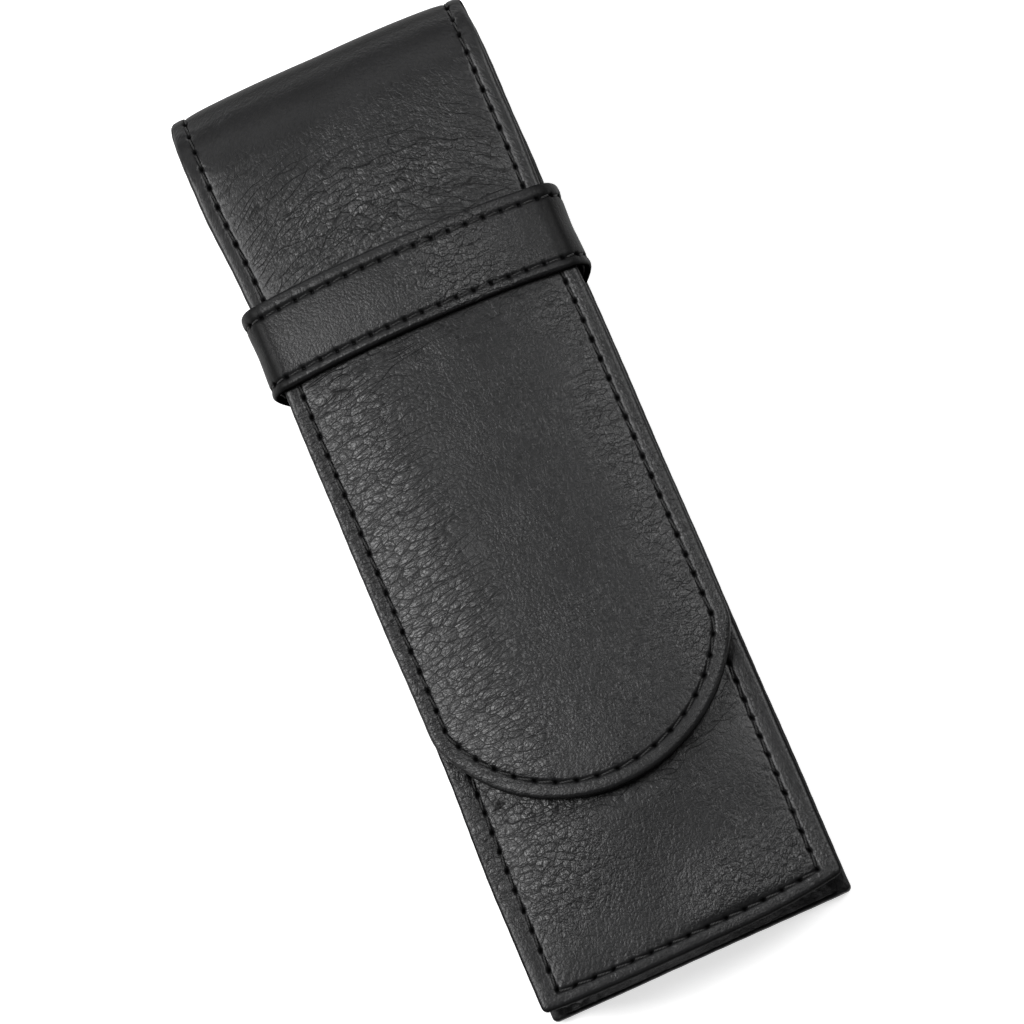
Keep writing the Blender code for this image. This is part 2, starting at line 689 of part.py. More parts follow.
def make_strap(materials, carrier):
    """The strap over the flap: cover, tape and lining, two sewn rows and a tab at each end."""
    profile = strap_profile()
    length = profile.lengths[-1]
    heel_end = profile.lengths[1 + STRAP_HEEL_STEPS]
    rim = STRAP_COVER + STRAP_GLUE + STRAP_HEM

    cover = prism(centred(strap_section()), heel_end, length - heel_end)
    cover = add_piece("strap_cover", cover, materials["cover"], carrier)
    tab_half = STRAP_WIDTH / 2 - STRAP_EDGE_ROUND
    tab_section = centred(rectangle(tab_half, STRAP_TAB_SINK, STRAP_TAB))
    for start, end in ((0, heel_end + STRAP_JOIN), (length - heel_end - STRAP_JOIN, length)):
        join_flat(cover, prism(tab_section, start, end))
    fold_object(cover, profile)

    tape_half = STRAP_WIDTH / 2 - STRAP_HEM_WIDTH - STRAP_GLUE
    tape = prism(centred(rectangle(tape_half, STRAP_COVER + STRAP_GLUE, rim)), heel_end, length - heel_end)
    add_piece("strap_tape", bow(profile.bend(tape, "Y")), materials["tape"], carrier)
    lining_half = STRAP_WIDTH / 2 - STRAP_LINING_SETBACK
    section = centred(rectangle(lining_half, rim + STRAP_GLUE, STRAP_THICKNESS))
    lining = prism(section, heel_end, length - heel_end)
    add_piece("strap_lining", bow(profile.bend(lining, "Y")), materials["lining"], carrier)

    for side, name in ((-1, "lower"), (1, "upper")):
        across = STRAP_MIDDLE + side * (STRAP_WIDTH / 2 - STRAP_SEAM_INSET)
        depth = THREAD_SINK + STRAP_THREAD / 2
        ends = (heel_end + 2 * STRAP_JOIN, length - heel_end - 2 * STRAP_JOIN)
        row = thread([(across, along, depth) for along in ends], STRAP_THREAD / 2)
        row = bow(profile.bend(row, "Y"))
        add_piece(f"strap_stitching_{name}", row, materials["thread"], carrier)


def join_flat(target, solid):
    """Joins a flat solid to a flat piece for good."""
    mesh = bpy.data.meshes.new("joined")
    solid.to_mesh(mesh)
    solid.free()
    helper = bpy.data.objects.new("joined", mesh)
    bpy.context.scene.collection.objects.link(helper)
    union = target.modifiers.new("join", "BOOLEAN")
    union.operation = "UNION"
    union.object = helper
    graph = bpy.context.evaluated_depsgraph_get()
    joined = bpy.data.meshes.new_from_object(target.evaluated_get(graph), depsgraph=graph)
    target.modifiers.remove(union)
    joined.name = target.name
    target.data = joined
    bpy.data.objects.remove(helper)


def fold_object(piece, profile):
    """Folds a piece that was built flat as an object of the body at the case's origin."""
    solid = bmesh.new()
    solid.from_mesh(piece.data)
    bow(profile.bend(solid, "Y"))
    face_outwards(solid)
    solid.to_mesh(piece.data)
    solid.free()
    piece.data.shade_smooth()
    piece.data.set_sharp_from_angle(angle=math.radians(SMOOTH_ANGLE))


def main():
    clear_scene()
    materials = {
        "cover": make_material("black_leather", (0.045, 0.045, 0.046), 0.55),
        "padding": make_material("grey_foam", (0.30, 0.30, 0.30), 0.95),
        "lining": make_material("lining_leather", (0.030, 0.030, 0.031), 0.80),
        "tape": make_material("woven_tape", (0.08, 0.08, 0.08), 0.90),
        "thread": make_material("black_thread", (0.012, 0.012, 0.012), 0.60),
    }
    profile, rear_line, front_line = case_profile()
    pouch = make_pivot("pouch", (0, 0, 0))
    top = make_pivot("flap_top", (0, *profile.points[rear_line]), pouch)
    flap = make_pivot("flap", (0, *profile.points[front_line]), top)
    make_strip(materials, {"back": pouch, "top": top, "flap": flap})
    make_front(materials, pouch)
    make_gusset(materials, pouch)
    make_divider(materials, pouch)
    make_strap(materials, pouch)
    bpy.context.view_layer.update()
    for pivot in (top, flap):
        print(pivot.name, "fold line at", [round(v, 6) for v in pivot.matrix_world.translation])


main()
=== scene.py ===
import math

import bmesh
import bpy
import numpy as np
from mathutils import Matrix, Vector


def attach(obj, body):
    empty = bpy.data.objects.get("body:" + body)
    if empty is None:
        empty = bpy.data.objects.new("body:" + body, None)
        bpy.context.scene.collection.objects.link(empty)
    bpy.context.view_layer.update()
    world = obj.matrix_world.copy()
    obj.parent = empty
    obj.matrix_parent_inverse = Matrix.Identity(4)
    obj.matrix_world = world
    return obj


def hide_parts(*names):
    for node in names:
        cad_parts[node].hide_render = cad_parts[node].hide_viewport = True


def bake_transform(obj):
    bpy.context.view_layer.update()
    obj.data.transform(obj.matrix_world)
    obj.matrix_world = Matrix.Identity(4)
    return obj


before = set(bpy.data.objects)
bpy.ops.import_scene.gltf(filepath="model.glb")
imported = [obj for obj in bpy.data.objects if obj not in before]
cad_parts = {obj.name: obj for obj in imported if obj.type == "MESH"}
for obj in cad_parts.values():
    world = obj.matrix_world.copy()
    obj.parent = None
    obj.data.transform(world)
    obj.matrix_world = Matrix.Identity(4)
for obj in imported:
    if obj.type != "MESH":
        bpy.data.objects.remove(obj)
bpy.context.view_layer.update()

# Two pen case in black leather. Sizes in the dictionaries are millimetres, powers are watts.
# Every leather piece is worked out flat, as (across, along, depth below its face), and is then
# folded along the case's side profile, the way the CAD model lays it.

mm = 0.001

case = dict(width=53.0, length=160.0, depth=20.1, mouthDrop=18.0, flapReach=133.0, flapRest=0.3)

layers = dict(cover=1.0, glue=0.1, padding=0.8, lining=0.6, hem=0.45, hemWidth=6.0, setback=1.5)

foldShape = dict(rearRadius=7.0, frontReach=14.0, frontDrop=9.5, splitHeight=8.8)

crown = dict(height=1.7, power=1.05, inset=3.2, foot=25.0, top=76.0, head=24.0, pressed=0.32, grip=12.0,
             lower=0.35, lowerFrom=44.0, lowerOver=10.0)

half = case["width"] / 2
bottomEnd = -case["length"] / 2
topEnd = case["length"] / 2
mouth = topEnd - case["mouthDrop"]
panelDepth = layers["cover"] + layers["padding"] + layers["lining"] + 2 * layers["glue"]
rim = layers["cover"] + layers["glue"] + layers["padding"]
frontFace = case["depth"] - panelDepth - case["flapRest"]
crownHalf = half - crown["inset"]
strapMiddle = 35.95


# Camera, floor and light

# distance and aim are metres, focal and shift are pixels of a picture as wide as image
cameraView = dict(distance=1.1, aim=(0, 0, 0.010), tilt=11.5, pan=2.46, roll=-23.31,
                  focal=6736, shift=(-8.3, -13.7), image=1024, sensor=36)

# the lamps' places and sizes, and the floor's size, are metres
softBoxes = dict(leftSoftbox=dict(place=(-1.08, 0.42, 1.30), size=(0.60, 1.7), power=31.0),
                 rightSoftbox=dict(place=(1.10, 0.42, 1.30), size=(0.60, 1.7), power=17.0),
                 headSoftbox=dict(place=(0, 1.15, 1.0), size=(1.6, 0.4), power=2.8))

studio = dict(world=0.09, floor=0.80, roughness=0.9, glow=0.66, floorSize=6.0, floorDrop=0.3)


def makeCamera():
    # it looks back along a leaning line through the aim, then rolls about that line
    tilt, pan, roll = (math.radians(cameraView[k]) for k in ("tilt", "pan", "roll"))
    out = np.array([math.tan(pan), -math.tan(tilt), 1.0])
    out /= np.linalg.norm(out)
    side = np.cross((0, 1, 0), out)
    side /= np.linalg.norm(side)
    up = np.cross(out, side)
    right = math.cos(roll) * side + math.sin(roll) * up
    upward = -math.sin(roll) * side + math.cos(roll) * up
    place = np.array(cameraView["aim"]) + out * cameraView["distance"]
    data = bpy.data.cameras.new("camera")
    data.sensor_width = cameraView["sensor"]
    data.lens = cameraView["focal"] / cameraView["image"] * cameraView["sensor"]
    data.shift_x = -cameraView["shift"][0] / cameraView["image"]
    data.shift_y = cameraView["shift"][1] / cameraView["image"]
    data.clip_start = 0.05
    camera = bpy.data.objects.new("camera", data)
    bpy.context.scene.collection.objects.link(camera)
    axes = np.eye(4)
    axes[:3] = np.stack([right, upward, out, place], 1)
    camera.matrix_world = Matrix(axes.tolist())
    bpy.context.scene.camera = camera


def softBox(name, place, size, power):
    data = bpy.data.lights.new(name, "AREA")
    data.shape = "RECTANGLE"
    data.size, data.size_y = size
    data.energy = power
    lamp = bpy.data.objects.new(name, data)
    bpy.context.scene.collection.objects.link(lamp)
    lamp.location = place
    lamp.rotation_euler = (-Vector(place)).to_track_quat("-Z", "Y").to_euler()


def makeLights():
    for name, lamp in softBoxes.items():
        softBox(name, **lamp)
    world = bpy.data.worlds.new("studio")
    world.use_nodes = True
    glow = world.node_tree.nodes["Background"].inputs
    glow["Color"].default_value = (1, 1, 1, 1)
    glow["Strength"].default_value = studio["world"]
    bpy.context.scene.world = world
    bpy.context.scene.view_settings.view_transform = "Standard"


def makeFloor():
    reach, drop = studio["floorSize"], -studio["floorDrop"] * mm
    corners = [(-reach, -reach, drop), (reach, -reach, drop), (reach, reach, drop), (-reach, reach, drop)]
    mesh = bpy.data.meshes.new("floor")
    mesh.from_pydata(corners, [], [(0, 1, 2, 3)])
    floor = bpy.data.objects.new("floor", mesh)
    bpy.context.scene.collection.objects.link(floor)
    paint, tree, shader = newMaterial("paleFloor")
    # a little glow where the floor is seen, directly or mirrored, and none on what it lights
    path = tree.nodes.new("ShaderNodeLightPath").outputs
    seen = reckon(tree, "MAXIMUM", path["Is Camera Ray"], path["Is Glossy Ray"])
    seen = reckon(tree, "MAXIMUM", seen, path["Is Transmission Ray"])
    fill(tree, shader, dict(
        Base_Color=(studio["floor"],) * 3 + (1,), Roughness=studio["roughness"],
        Emission_Color=(1, 1, 1, 1), Emission_Strength=times(tree, seen, studio["glow"])))
    mesh.materials.append(paint)


# Materials

# in each look, crease is the colour that the leather is darkened towards in its creases and shaded marks:
# painted shade
outerLook = dict(colour=(0.010, 0.010, 0.0105), crease=(0.002, 0.002, 0.002),
                 cell=1.35, smallCell=0.75, fineCell=0.42, pebble=0.19, fine=0.050, tilt=0.075, stroke=0.015,
                 roughness=0.35, creaseRoughness=0.60, gloss=0.52, coat=0.15)

gussetLook = dict(outerLook, colour=(0.020, 0.020, 0.021), crease=(0.006, 0.006, 0.006), fine=0.06,
                  roughness=0.70, creaseRoughness=0.85, gloss=0.08, coat=0.0)

liningLook = dict(colour=(0.030, 0.029, 0.028), crease=(0.014, 0.014, 0.014),
                  cell=1.6, smallCell=0.7, fineCell=0.35, pebble=0.04, fine=0.015, tilt=0.03, stroke=0.008,
                  roughness=0.62, creaseRoughness=0.75, gloss=0.35, coat=0.0)

# what all the leathers share; a pair gives the values at the two ends of a scale; the dark values give
# painted shade in the nets and long lines
grainForm = dict(drift=1.1, driftScale=0.5, patchScale=0.12, tiltScale=1.1, stretch=(3.2, 1.8, 0.0),
                 netWidth=0.06, netDepth=0.3, netDark=(0.04, 0.32),
                 smallNetWidth=0.12, smallNetDepth=0.5, smallNetDark=0.11, lineDepth=0.06, lineDark=0.60,
                 worn=(0.85, 1.18), roughVaries=0.25, grooveRough=0.95, shine=0.65, pebbleShine=0.52,
                 coatRough=0.30)

# the long creases' two runs, each as (pitch, slant), and how they waver and show
creaseForm = dict(runs=((1.9, 0.10), (2.4, -0.11)), stretch=(0.16, 0.30, 0.0), apart=90, waver=2.6,
                  width=0.07, shown=(0.36, 0.54))

threadLook = dict(colour=(0.010, 0.010, 0.010), light=(0.070, 0.070, 0.070), twist=1.6, fibre=9.0, depth=0.08,
                  roughness=(0.55, 0.80), gloss=0.25)

foamLook = dict(colour=(0.16, 0.16, 0.17), dark=(0.05, 0.05, 0.055), cell=0.35, depth=0.05,
                roughness=(1.0, 0.85))

tapeLook = dict(colour=(0.55, 0.53, 0.48), dark=(0.30, 0.29, 0.26), weave=0.6, depth=0.1,
                roughness=(0.9, 0.7))


def newMaterial(name):
    made = bpy.data.materials.new(name)
    made.use_nodes = True
    return made, made.node_tree, made.node_tree.nodes["Principled BSDF"]


def fill(tree, made, inputs):
    # in a socket's name _ stands for a blank, and n with a number gives its place in the list
    for name, value in inputs.items():
        spot = int(name[1:]) if name[1:].isdigit() else name.replace("_", " ")
        if isinstance(value, bpy.types.NodeSocket):
            tree.links.new(value, made.inputs[spot])
        else:
            made.inputs[spot].default_value = value


def node(tree, kind, settings, **inputs):
    made = tree.nodes.new(kind)
    for name, value in settings.items():
        setattr(made, name, value)
    fill(tree, made, inputs)
    return made


def reckon(tree, operation, *values):
    inputs = {f"n{k}": value for k, value in enumerate(values)}
    return node(tree, "ShaderNodeMath", dict(operation=operation), **inputs).outputs[0]


def times(tree, first, second):
    return reckon(tree, "MULTIPLY", first, second)


def reckonVector(tree, operation, *values, **named):
    inputs = {f"n{k}": value for k, value in enumerate(values)}
    return node(tree, "ShaderNodeVectorMath", dict(operation=operation), **inputs, **named).outputs[0]


def cloud(tree, place, scale, detail):
    return node(tree, "ShaderNodeTexNoise", {}, Vector=place, Scale=scale, Detail=detail).outputs


def between(tree, value, low, high, first=0.0, last=1.0):
    made = node(tree, "ShaderNodeMapRange", dict(interpolation_type="SMOOTHSTEP"), Value=value,
                From_Min=low, From_Max=high, To_Min=first, To_Max=last)
    return made.outputs["Result"]


def blendColours(tree, share, first, second):
    made = node(tree, "ShaderNodeMix", dict(data_type="RGBA"), n0=share, n6=(*first, 1), n7=(*second, 1))
    return made.outputs[2]


def bumped(tree, height, depth, strength=1.0):
    # depth is the millimetres that a height of 1 stands for
    return node(tree, "ShaderNodeBump", {}, Height=height, Strength=strength, Distance=depth * mm).outputs[0]


def flatPlace(tree, name):
    # the piece's flat coordinates, back in millimetres
    uv = node(tree, "ShaderNodeUVMap", dict(uv_map=name)).outputs[0]
    return reckonVector(tree, "SCALE", uv, Scale=100.0)


def cellDomes(tree, place, size):
    # every cell is a low round dome: one less the square of the way from its centre
    distance = node(tree, "ShaderNodeTexVoronoi", {}, Vector=place, Scale=1 / size).outputs["Distance"]
    return reckon(tree, "SUBTRACT", 1.0, times(tree, times(tree, distance, distance), 1.7))


def edgeLines(tree, place, size, width):
    # 1 along the borders between cells, and 0 off them
    edge = node(tree, "ShaderNodeTexVoronoi", dict(feature="DISTANCE_TO_EDGE"), Vector=place, Scale=1 / size)
    return between(tree, edge.outputs["Distance"], 0.0, width, 1.0, 0.0)


def longCreases(tree, place, pitch, slant):
    # thin lines a pitch apart, which waver, lean by the slant and fade in and out
    form = creaseForm
    spot = reckonVector(tree, "MULTIPLY_ADD", place, form["stretch"], (0.0, 0.0, form["apart"] * slant))
    waver = cloud(tree, spot, 1.0, 1.0)
    run = node(tree, "ShaderNodeVectorMath", dict(operation="DOT_PRODUCT"), n0=place,
               n1=(slant, 1 / pitch, 0.0)).outputs["Value"]
    run = reckon(tree, "MULTIPLY_ADD", waver["Fac"], form["waver"], run)
    line = between(tree, reckon(tree, "PINGPONG", run, 0.5), 0.0, form["width"], 1.0, 0.0)
    parts = node(tree, "ShaderNodeSeparateXYZ", {}, Vector=waver["Color"]).outputs
    return times(tree, line, between(tree, parts["Z"], *form["shown"]))


def makeLeather(name, look, usesMarks):
    # a net of thin creases round low pebbles, with a finer net and finer pebbles on them, and short
    # strokes; the piece's marks say how coarse the grain is, how much painted shade lies on it, in grooves,
    # holes and folds and on turned edges, and where it has long creases
    form = grainForm
    material, tree, shader = newMaterial(name)
    place = flatPlace(tree, "leather")
    drift = cloud(tree, place, form["driftScale"], 2.0)["Color"]
    shifted = reckonVector(tree, "MULTIPLY_ADD", drift, (form["drift"], form["drift"], 0.0), place)
    patches = cloud(tree, place, form["patchScale"], 3.0)[0]
    if usesMarks:
        coarse, shade, lines = (node(tree, "ShaderNodeAttribute", dict(attribute_name=mark)).outputs["Fac"]
                                for mark in ("coarse", "shade", "lines"))
        drawn = reckon(tree, "MAXIMUM", *(longCreases(tree, place, *run) for run in creaseForm["runs"]))
        lines = times(tree, lines, drawn)
    else:
        coarse, shade, lines = between(tree, patches, 0.2, 0.8, 0.15, 0.35), 0.0, 0.0
    bigShare = between(tree, coarse, 0.05, 0.9)
    fineShare = between(tree, coarse, 0.0, 0.6, 0.35, 1.2)
    net = edgeLines(tree, shifted, look["cell"], form["netWidth"])
    smallNet = edgeLines(tree, shifted, look["smallCell"], form["smallNetWidth"])
    tilt = cloud(tree, place, form["tiltScale"], 1.0)[0]
    strokes = cloud(tree, reckonVector(tree, "MULTIPLY", shifted, form["stretch"]), 1.0, 2.0)[0]
    big = reckon(tree, "MULTIPLY_ADD", net, -form["netDepth"], cellDomes(tree, shifted, look["cell"]))
    fine = cellDomes(tree, shifted, look["fineCell"])
    small = reckon(tree, "MULTIPLY_ADD", smallNet, -form["smallNetDepth"], fine)
    height = times(tree, big, times(tree, bigShare, look["pebble"]))
    height = reckon(tree, "MULTIPLY_ADD", small, times(tree, fineShare, look["fine"]), height)
    height = reckon(tree, "MULTIPLY_ADD", tilt, times(tree, fineShare, look["tilt"]), height)
    height = reckon(tree, "MULTIPLY_ADD", strokes, look["stroke"], height)
    height = reckon(tree, "MULTIPLY_ADD", lines, -form["lineDepth"], height)
    # raised is 1 on the tops and falls to 0 in creases and grooves, which are given painted shade
    deep = times(tree, net, between(tree, coarse, 0.05, 0.55, *form["netDark"]))
    deep = reckon(tree, "MAXIMUM", deep, times(tree, smallNet, times(tree, fineShare, form["smallNetDark"])))
    deep = reckon(tree, "MAXIMUM", deep, times(tree, lines, form["lineDark"]))
    raised = times(tree, reckon(tree, "SUBTRACT", 1.0, deep), reckon(tree, "SUBTRACT", 1.0, shade))
    colour = blendColours(tree, raised, look["crease"], look["colour"])
    worn = between(tree, patches, 0.3, 0.75, *form["worn"])
    rough = between(tree, raised, 0.0, 1.0, look["creaseRoughness"], look["roughness"])
    rough = reckon(tree, "MULTIPLY_ADD", reckon(tree, "SUBTRACT", strokes, 0.5), form["roughVaries"], rough)
    # pebbles are polished, and painted shade takes the shine out of creases, holes and turned edges
    polish = reckon(tree, "MULTIPLY_ADD", bigShare, form["pebbleShine"], form["shine"])
    lit = times(tree, times(tree, raised, raised), polish)
    fill(tree, shader, dict(
        Base_Color=reckonVector(tree, "SCALE", colour, Scale=worn), Normal=bumped(tree, height, 1.0),
        Roughness=reckon(tree, "MAXIMUM", rough, times(tree, shade, form["grooveRough"])),
        Specular_IOR_Level=times(tree, lit, look["gloss"])))
    if look["coat"]:
        fill(tree, shader, dict(Coat_Weight=times(tree, lit, look["coat"]), Coat_Roughness=form["coatRough"]))
    return material


def makeThreadLook():
    # two plies laid round each other, with a haze of fibre along them
    material, tree, shader = newMaterial("waxedThread")
    place = flatPlace(tree, "thread")
    parts = node(tree, "ShaderNodeSeparateXYZ", {}, Vector=place).outputs
    turn = reckon(tree, "MULTIPLY_ADD", parts["Y"], threadLook["twist"], times(tree, parts["X"], 2.0))
    ply = reckon(tree, "ABSOLUTE", reckon(tree, "SINE", times(tree, turn, math.pi)))
    fibre = cloud(tree, place, threadLook["fibre"], 2.0)[0]
    height = reckon(tree, "MULTIPLY_ADD", fibre, 0.3, ply)
    # the colour is lighter on the plies' tops and darker between them, as painted shade, and varies with the
    # fibre
    fill(tree, shader, dict(
        Base_Color=blendColours(tree, times(tree, ply, fibre), threadLook["colour"], threadLook["light"]),
        Normal=bumped(tree, height, threadLook["depth"]),
        Roughness=between(tree, fibre, 0.2, 0.8, *threadLook["roughness"]),
        Specular_IOR_Level=threadLook["gloss"]))
    return material


def makeFoamLook():
    # open cells, with painted shade inside them
    material, tree, shader = newMaterial("foam")
    place = node(tree, "ShaderNodeTexCoord", {}).outputs["Object"]
    cells = node(tree, "ShaderNodeTexVoronoi", {}, Vector=place, Scale=1 / (foamLook["cell"] * mm))
    depth = between(tree, cells.outputs["Distance"], 0.1, 0.7)
    fill(tree, shader, dict(
        Base_Color=blendColours(tree, depth, foamLook["dark"], foamLook["colour"]),
        Normal=bumped(tree, depth, foamLook["depth"], 0.8),
        Roughness=between(tree, depth, 0.0, 1.0, *foamLook["roughness"])))
    return material


def makeTapeLook():
    # a plain weave: two sets of bands crossing, with painted shade where the weave dips
    material, tree, shader = newMaterial("wovenTape")
    parts = node(tree, "ShaderNodeSeparateXYZ", {}, Vector=flatPlace(tree, "leather")).outputs
    pull = math.pi / tapeLook["weave"]
    warp, weft = (reckon(tree, "SINE", times(tree, parts[k], pull)) for k in ("X", "Y"))
    cross = reckon(tree, "MULTIPLY_ADD", times(tree, warp, weft), 0.5, 0.5)
    fill(tree, shader, dict(
        Base_Color=blendColours(tree, cross, tapeLook["dark"], tapeLook["colour"]),
        Normal=bumped(tree, cross, tapeLook["depth"]),
        Roughness=between(tree, cross, 0.0, 1.0, *tapeLook["roughness"])))
    return material


# Smooth noise and small curves, all on whole arrays

def smooth(t):
    t = np.clip(t, 0, 1)
    return t * t * (3 - 2 * t)


def bell(t):
    return np.exp(-np.square(t))


def near(value, place, width):
    return bell((value - place) / width)


def rises(value, start, over):
    # 0 up to the start, and 1 once it is past by over
    return smooth((value - start) / over)


def falls(value, end, over):
    # 1 until it is short of the end by over, and 0 from the end on
    return smooth((end - value) / over)


def noise(x, y, seed):
    # values drawn on a lattice and blended smoothly between its corners, from -1 to 1
    table = np.random.default_rng(seed).random((256, 256)) * 2 - 1
    x, y = np.broadcast_arrays(np.asarray(x, float), np.asarray(y, float))
    x0, y0 = np.floor(x).astype(int), np.floor(y).astype(int)
    fx, fy = smooth(x - x0), smooth(y - y0)
    low = table[x0 % 256, y0 % 256] * (1 - fx) + table[(x0 + 1) % 256, y0 % 256] * fx
    high = table[x0 % 256, (y0 + 1) % 256] * (1 - fx) + table[(x0 + 1) % 256, (y0 + 1) % 256] * fx
    return low * (1 - fy) + high * fy


def layeredNoise(x, y, seed):
    return (noise(x, y, seed) + noise(2 * x, 2 * y, seed + 1) / 2 + noise(4 * x, 4 * y, seed + 2) / 4) / 1.75


def creases(x, y, seed, width):
    # narrow valleys where a noise passes through nought, each between two low swells
    level = layeredNoise(x, y, seed)
    return 0.35 * bell(level / (3.2 * width)) - bell(level / width)


def arcPoints(centre, radius, start, end, steps=10):
    angle = np.radians(np.linspace(start, end, steps + 1))
    return np.stack([centre[0] + radius * np.cos(angle), centre[1] + radius * np.sin(angle)], 1)


def travel(points):
    return np.r_[0, np.cumsum(np.linalg.norm(np.diff(points, axis=0), axis=1))]


def along(points, at):
    # the places at given distances along a polyline
    length = travel(points)
    return np.stack([np.interp(at, length, points[:, k]) for k in (0, 1)], -1)


# The side profile as a table: place along the outer face against a point and the way inwards. It
# runs up the back, round the quarter circle, up, over the quarter ellipse and down the flap.

def makeProfile():
    radius, reach, drop = foldShape["rearRadius"], foldShape["frontReach"], foldShape["frontDrop"]
    turn = np.radians(np.linspace(0, 90, 181))
    rear = np.stack([topEnd - radius + radius * np.sin(turn), radius - radius * np.cos(turn)], 1)
    rearIn = np.stack([-np.sin(turn), np.cos(turn)], 1)
    centre = (topEnd - reach, case["depth"] - drop)
    over = np.stack([centre[0] + reach * np.cos(turn), centre[1] + drop * np.sin(turn)], 1)
    overIn = -np.stack([np.cos(turn) / reach, np.sin(turn) / drop], 1)
    overIn /= np.linalg.norm(overIn, axis=1)[:, None]
    points = np.vstack([[(bottomEnd, 0)], rear, over, [(topEnd - case["flapReach"], case["depth"])]])
    return travel(points), points, np.vstack([[(0, 1)], rearIn, overIn, [(0, -1)]])


profileAt, profilePoints, profileIn = makeProfile()
stripEnd = profileAt[-1]
split = profileAt[181] + foldShape["splitHeight"] - foldShape["rearRadius"]  # where back and flap part

# What handling has done to the shape
wear = dict(foldPinch=0.55, foldSpan=6.0, foldBulge=0.9, bulgeSpan=10.0,
            waist=0.45, waistAt=38.0, waistSpan=11.0, lean=0.65, leanTop=62.0, leanFoot=-62.0,
            skew=0.55, skewFrom=-20.0, sagFrom=-54.0, sagSpan=24.0, frontSag=1.45, backSag=1.1, backTilt=0.27)


def flapY(place):
    return topEnd - case["flapReach"] + stripEnd - place


def squeeze(y):
    # the case is drawn in where the strap grips it
    return 1 - wear["waist"] * near(y, wear["waistAt"], wear["waistSpan"]) / half


def skewBottom(co):
    # the left side is drawn in a little over most of its length; towards its foot the case is
    # skewed, and its bottom edge sags, the front's most in the middle
    x, y, z = co.T
    u = x / half
    low = falls(y, wear["skewFrom"], wear["skewFrom"] - bottomEnd)
    foot = falls(y, wear["sagFrom"], wear["sagSpan"])
    hang = wear["frontSag"] * (1 - np.where(u > 0, 1, 0.6) * np.clip(np.abs(u), 0, 1) ** 3)
    rest = wear["backSag"] * (1 + wear["backTilt"] * u)
    sag = foot * (rest + (hang - rest) * smooth(z / 17))
    side = falls(y, wear["leanTop"], 14) * rises(y, wear["leanFoot"], 24) * smooth(0.5 - 0.5 * u)
    return np.stack([x + wear["lean"] * side, y + wear["skew"] * low * (u + 0.2) - sag, z], 1)


def foldStrip(flat):
    across, place, depth = flat.T
    y, z = (np.interp(place, profileAt, profilePoints[:, k]) for k in (0, 1))
    inY, inZ = (np.interp(place, profileAt, profileIn[:, k]) for k in (0, 1))
    size = np.hypot(inY, inZ)
    waist = np.where(place > split, squeeze(flapY(place)), 1)
    share = waist * (1 - wear["foldPinch"] * near(place, split, wear["foldSpan"]) / half)
    full = 1 - np.clip(np.abs(across) / half, 0, 1) ** 3
    bulge = wear["foldBulge"] * near(place, split, wear["bulgeSpan"]) * full
    return skewBottom(np.stack([across * share, y + depth * inY / size + bulge, z + depth * inZ / size], 1))


def layFront(flat):
    across, place, depth = flat.T
    return skewBottom(np.stack([across * squeeze(place), place, frontFace - depth], 1))


def crownAt(across, y):
    # padded over the pens and steep beside the seams; it rises from the bottom, dies at the fold,
    # is pressed down under the strap and stays lower above it
    over = (1 - np.clip(np.abs(across) / crownHalf, 0, 1) ** 2) ** crown["power"]
    rise = rises(y, bottomEnd + crown["inset"], crown["foot"])
    fall = falls(y, crown["top"], crown["head"])
    lowered = crown["lower"] * rises(y, crown["lowerFrom"], crown["lowerOver"])
    pressed = crown["pressed"] * near(y, strapMiddle, crown["grip"]) + lowered
    return crown["height"] * over * rise * fall * (1 - pressed)


# Outlines, laid flat, moved in by an inset. Each is a list of sides, from mid corner to mid corner.

corner = dict(bottom=0.9, smallest=0.2, shoulder=8.0, endRise=20.0, footSeam=1.1)

# each seam's way in from the edge, and the length of its stitches
seams = dict(strip=(2.7, 3.5), front=(3.5, 3.3), gusset=(0.7, 3.3))


def pocketSides(side, r, low, top):
    # up one side, across the foot and up the other, with the corners at the foot rounded
    right, left = (side - r, low + r), (r - side, low + r)
    return [np.vstack([[(side, top)], arcPoints(right, r, 0, -45)]),
            np.vstack([arcPoints(right, r, -45, -90), arcPoints(left, r, 270, 225)]),
            np.vstack([arcPoints(left, r, 225, 180), [(-side, top)]])]


def backSides(inset):
    return pocketSides(half - inset, max(corner["bottom"] - inset, corner["smallest"]), inset, split)


def flapSides(inset):
    rise, shoulder = corner["endRise"], corner["shoulder"]
    endRadius = (half**2 - 2 * half * shoulder + rise**2) / (2 * (rise - shoulder))
    endCentre, level = stripEnd - endRadius, stripEnd - rise
    turn = math.degrees(math.atan2(level - endCentre, half - shoulder))
    r, side = shoulder - inset, half - inset
    right, left = (half - shoulder, level), (shoulder - half, level)
    return [np.vstack([[(side, split)], arcPoints(right, r, 0, turn / 2)]),
            np.vstack([arcPoints(right, r, turn / 2, turn)[:-1],
                       arcPoints((0, endCentre), endRadius - inset, turn, 180 - turn, 60),
                       arcPoints(left, r, 180 - turn, 180 - turn / 2)[1:]]),
            np.vstack([arcPoints(left, r, 180 - turn / 2, 180), [(-side, split)]])]


def frontSides(inset):
    # at the foot the seam, and what lies inside it, keeps nearer to the edge
    r = max(corner["bottom"] - inset, corner["smallest"])
    foot = inset - corner["footSeam"] * rises(inset, 1, 2.5)
    side, low, high = half - inset - r, bottomEnd + foot + r, mouth - inset - r
    spots = [(side, low), (side, high), (-side, high), (-side, low)]
    return [np.vstack([arcPoints(spots[k], r, 90 * k - 45, 90 * k),
                       arcPoints(spots[(k + 1) % 4], r, 90 * k, 90 * k + 45)]) for k in range(4)]


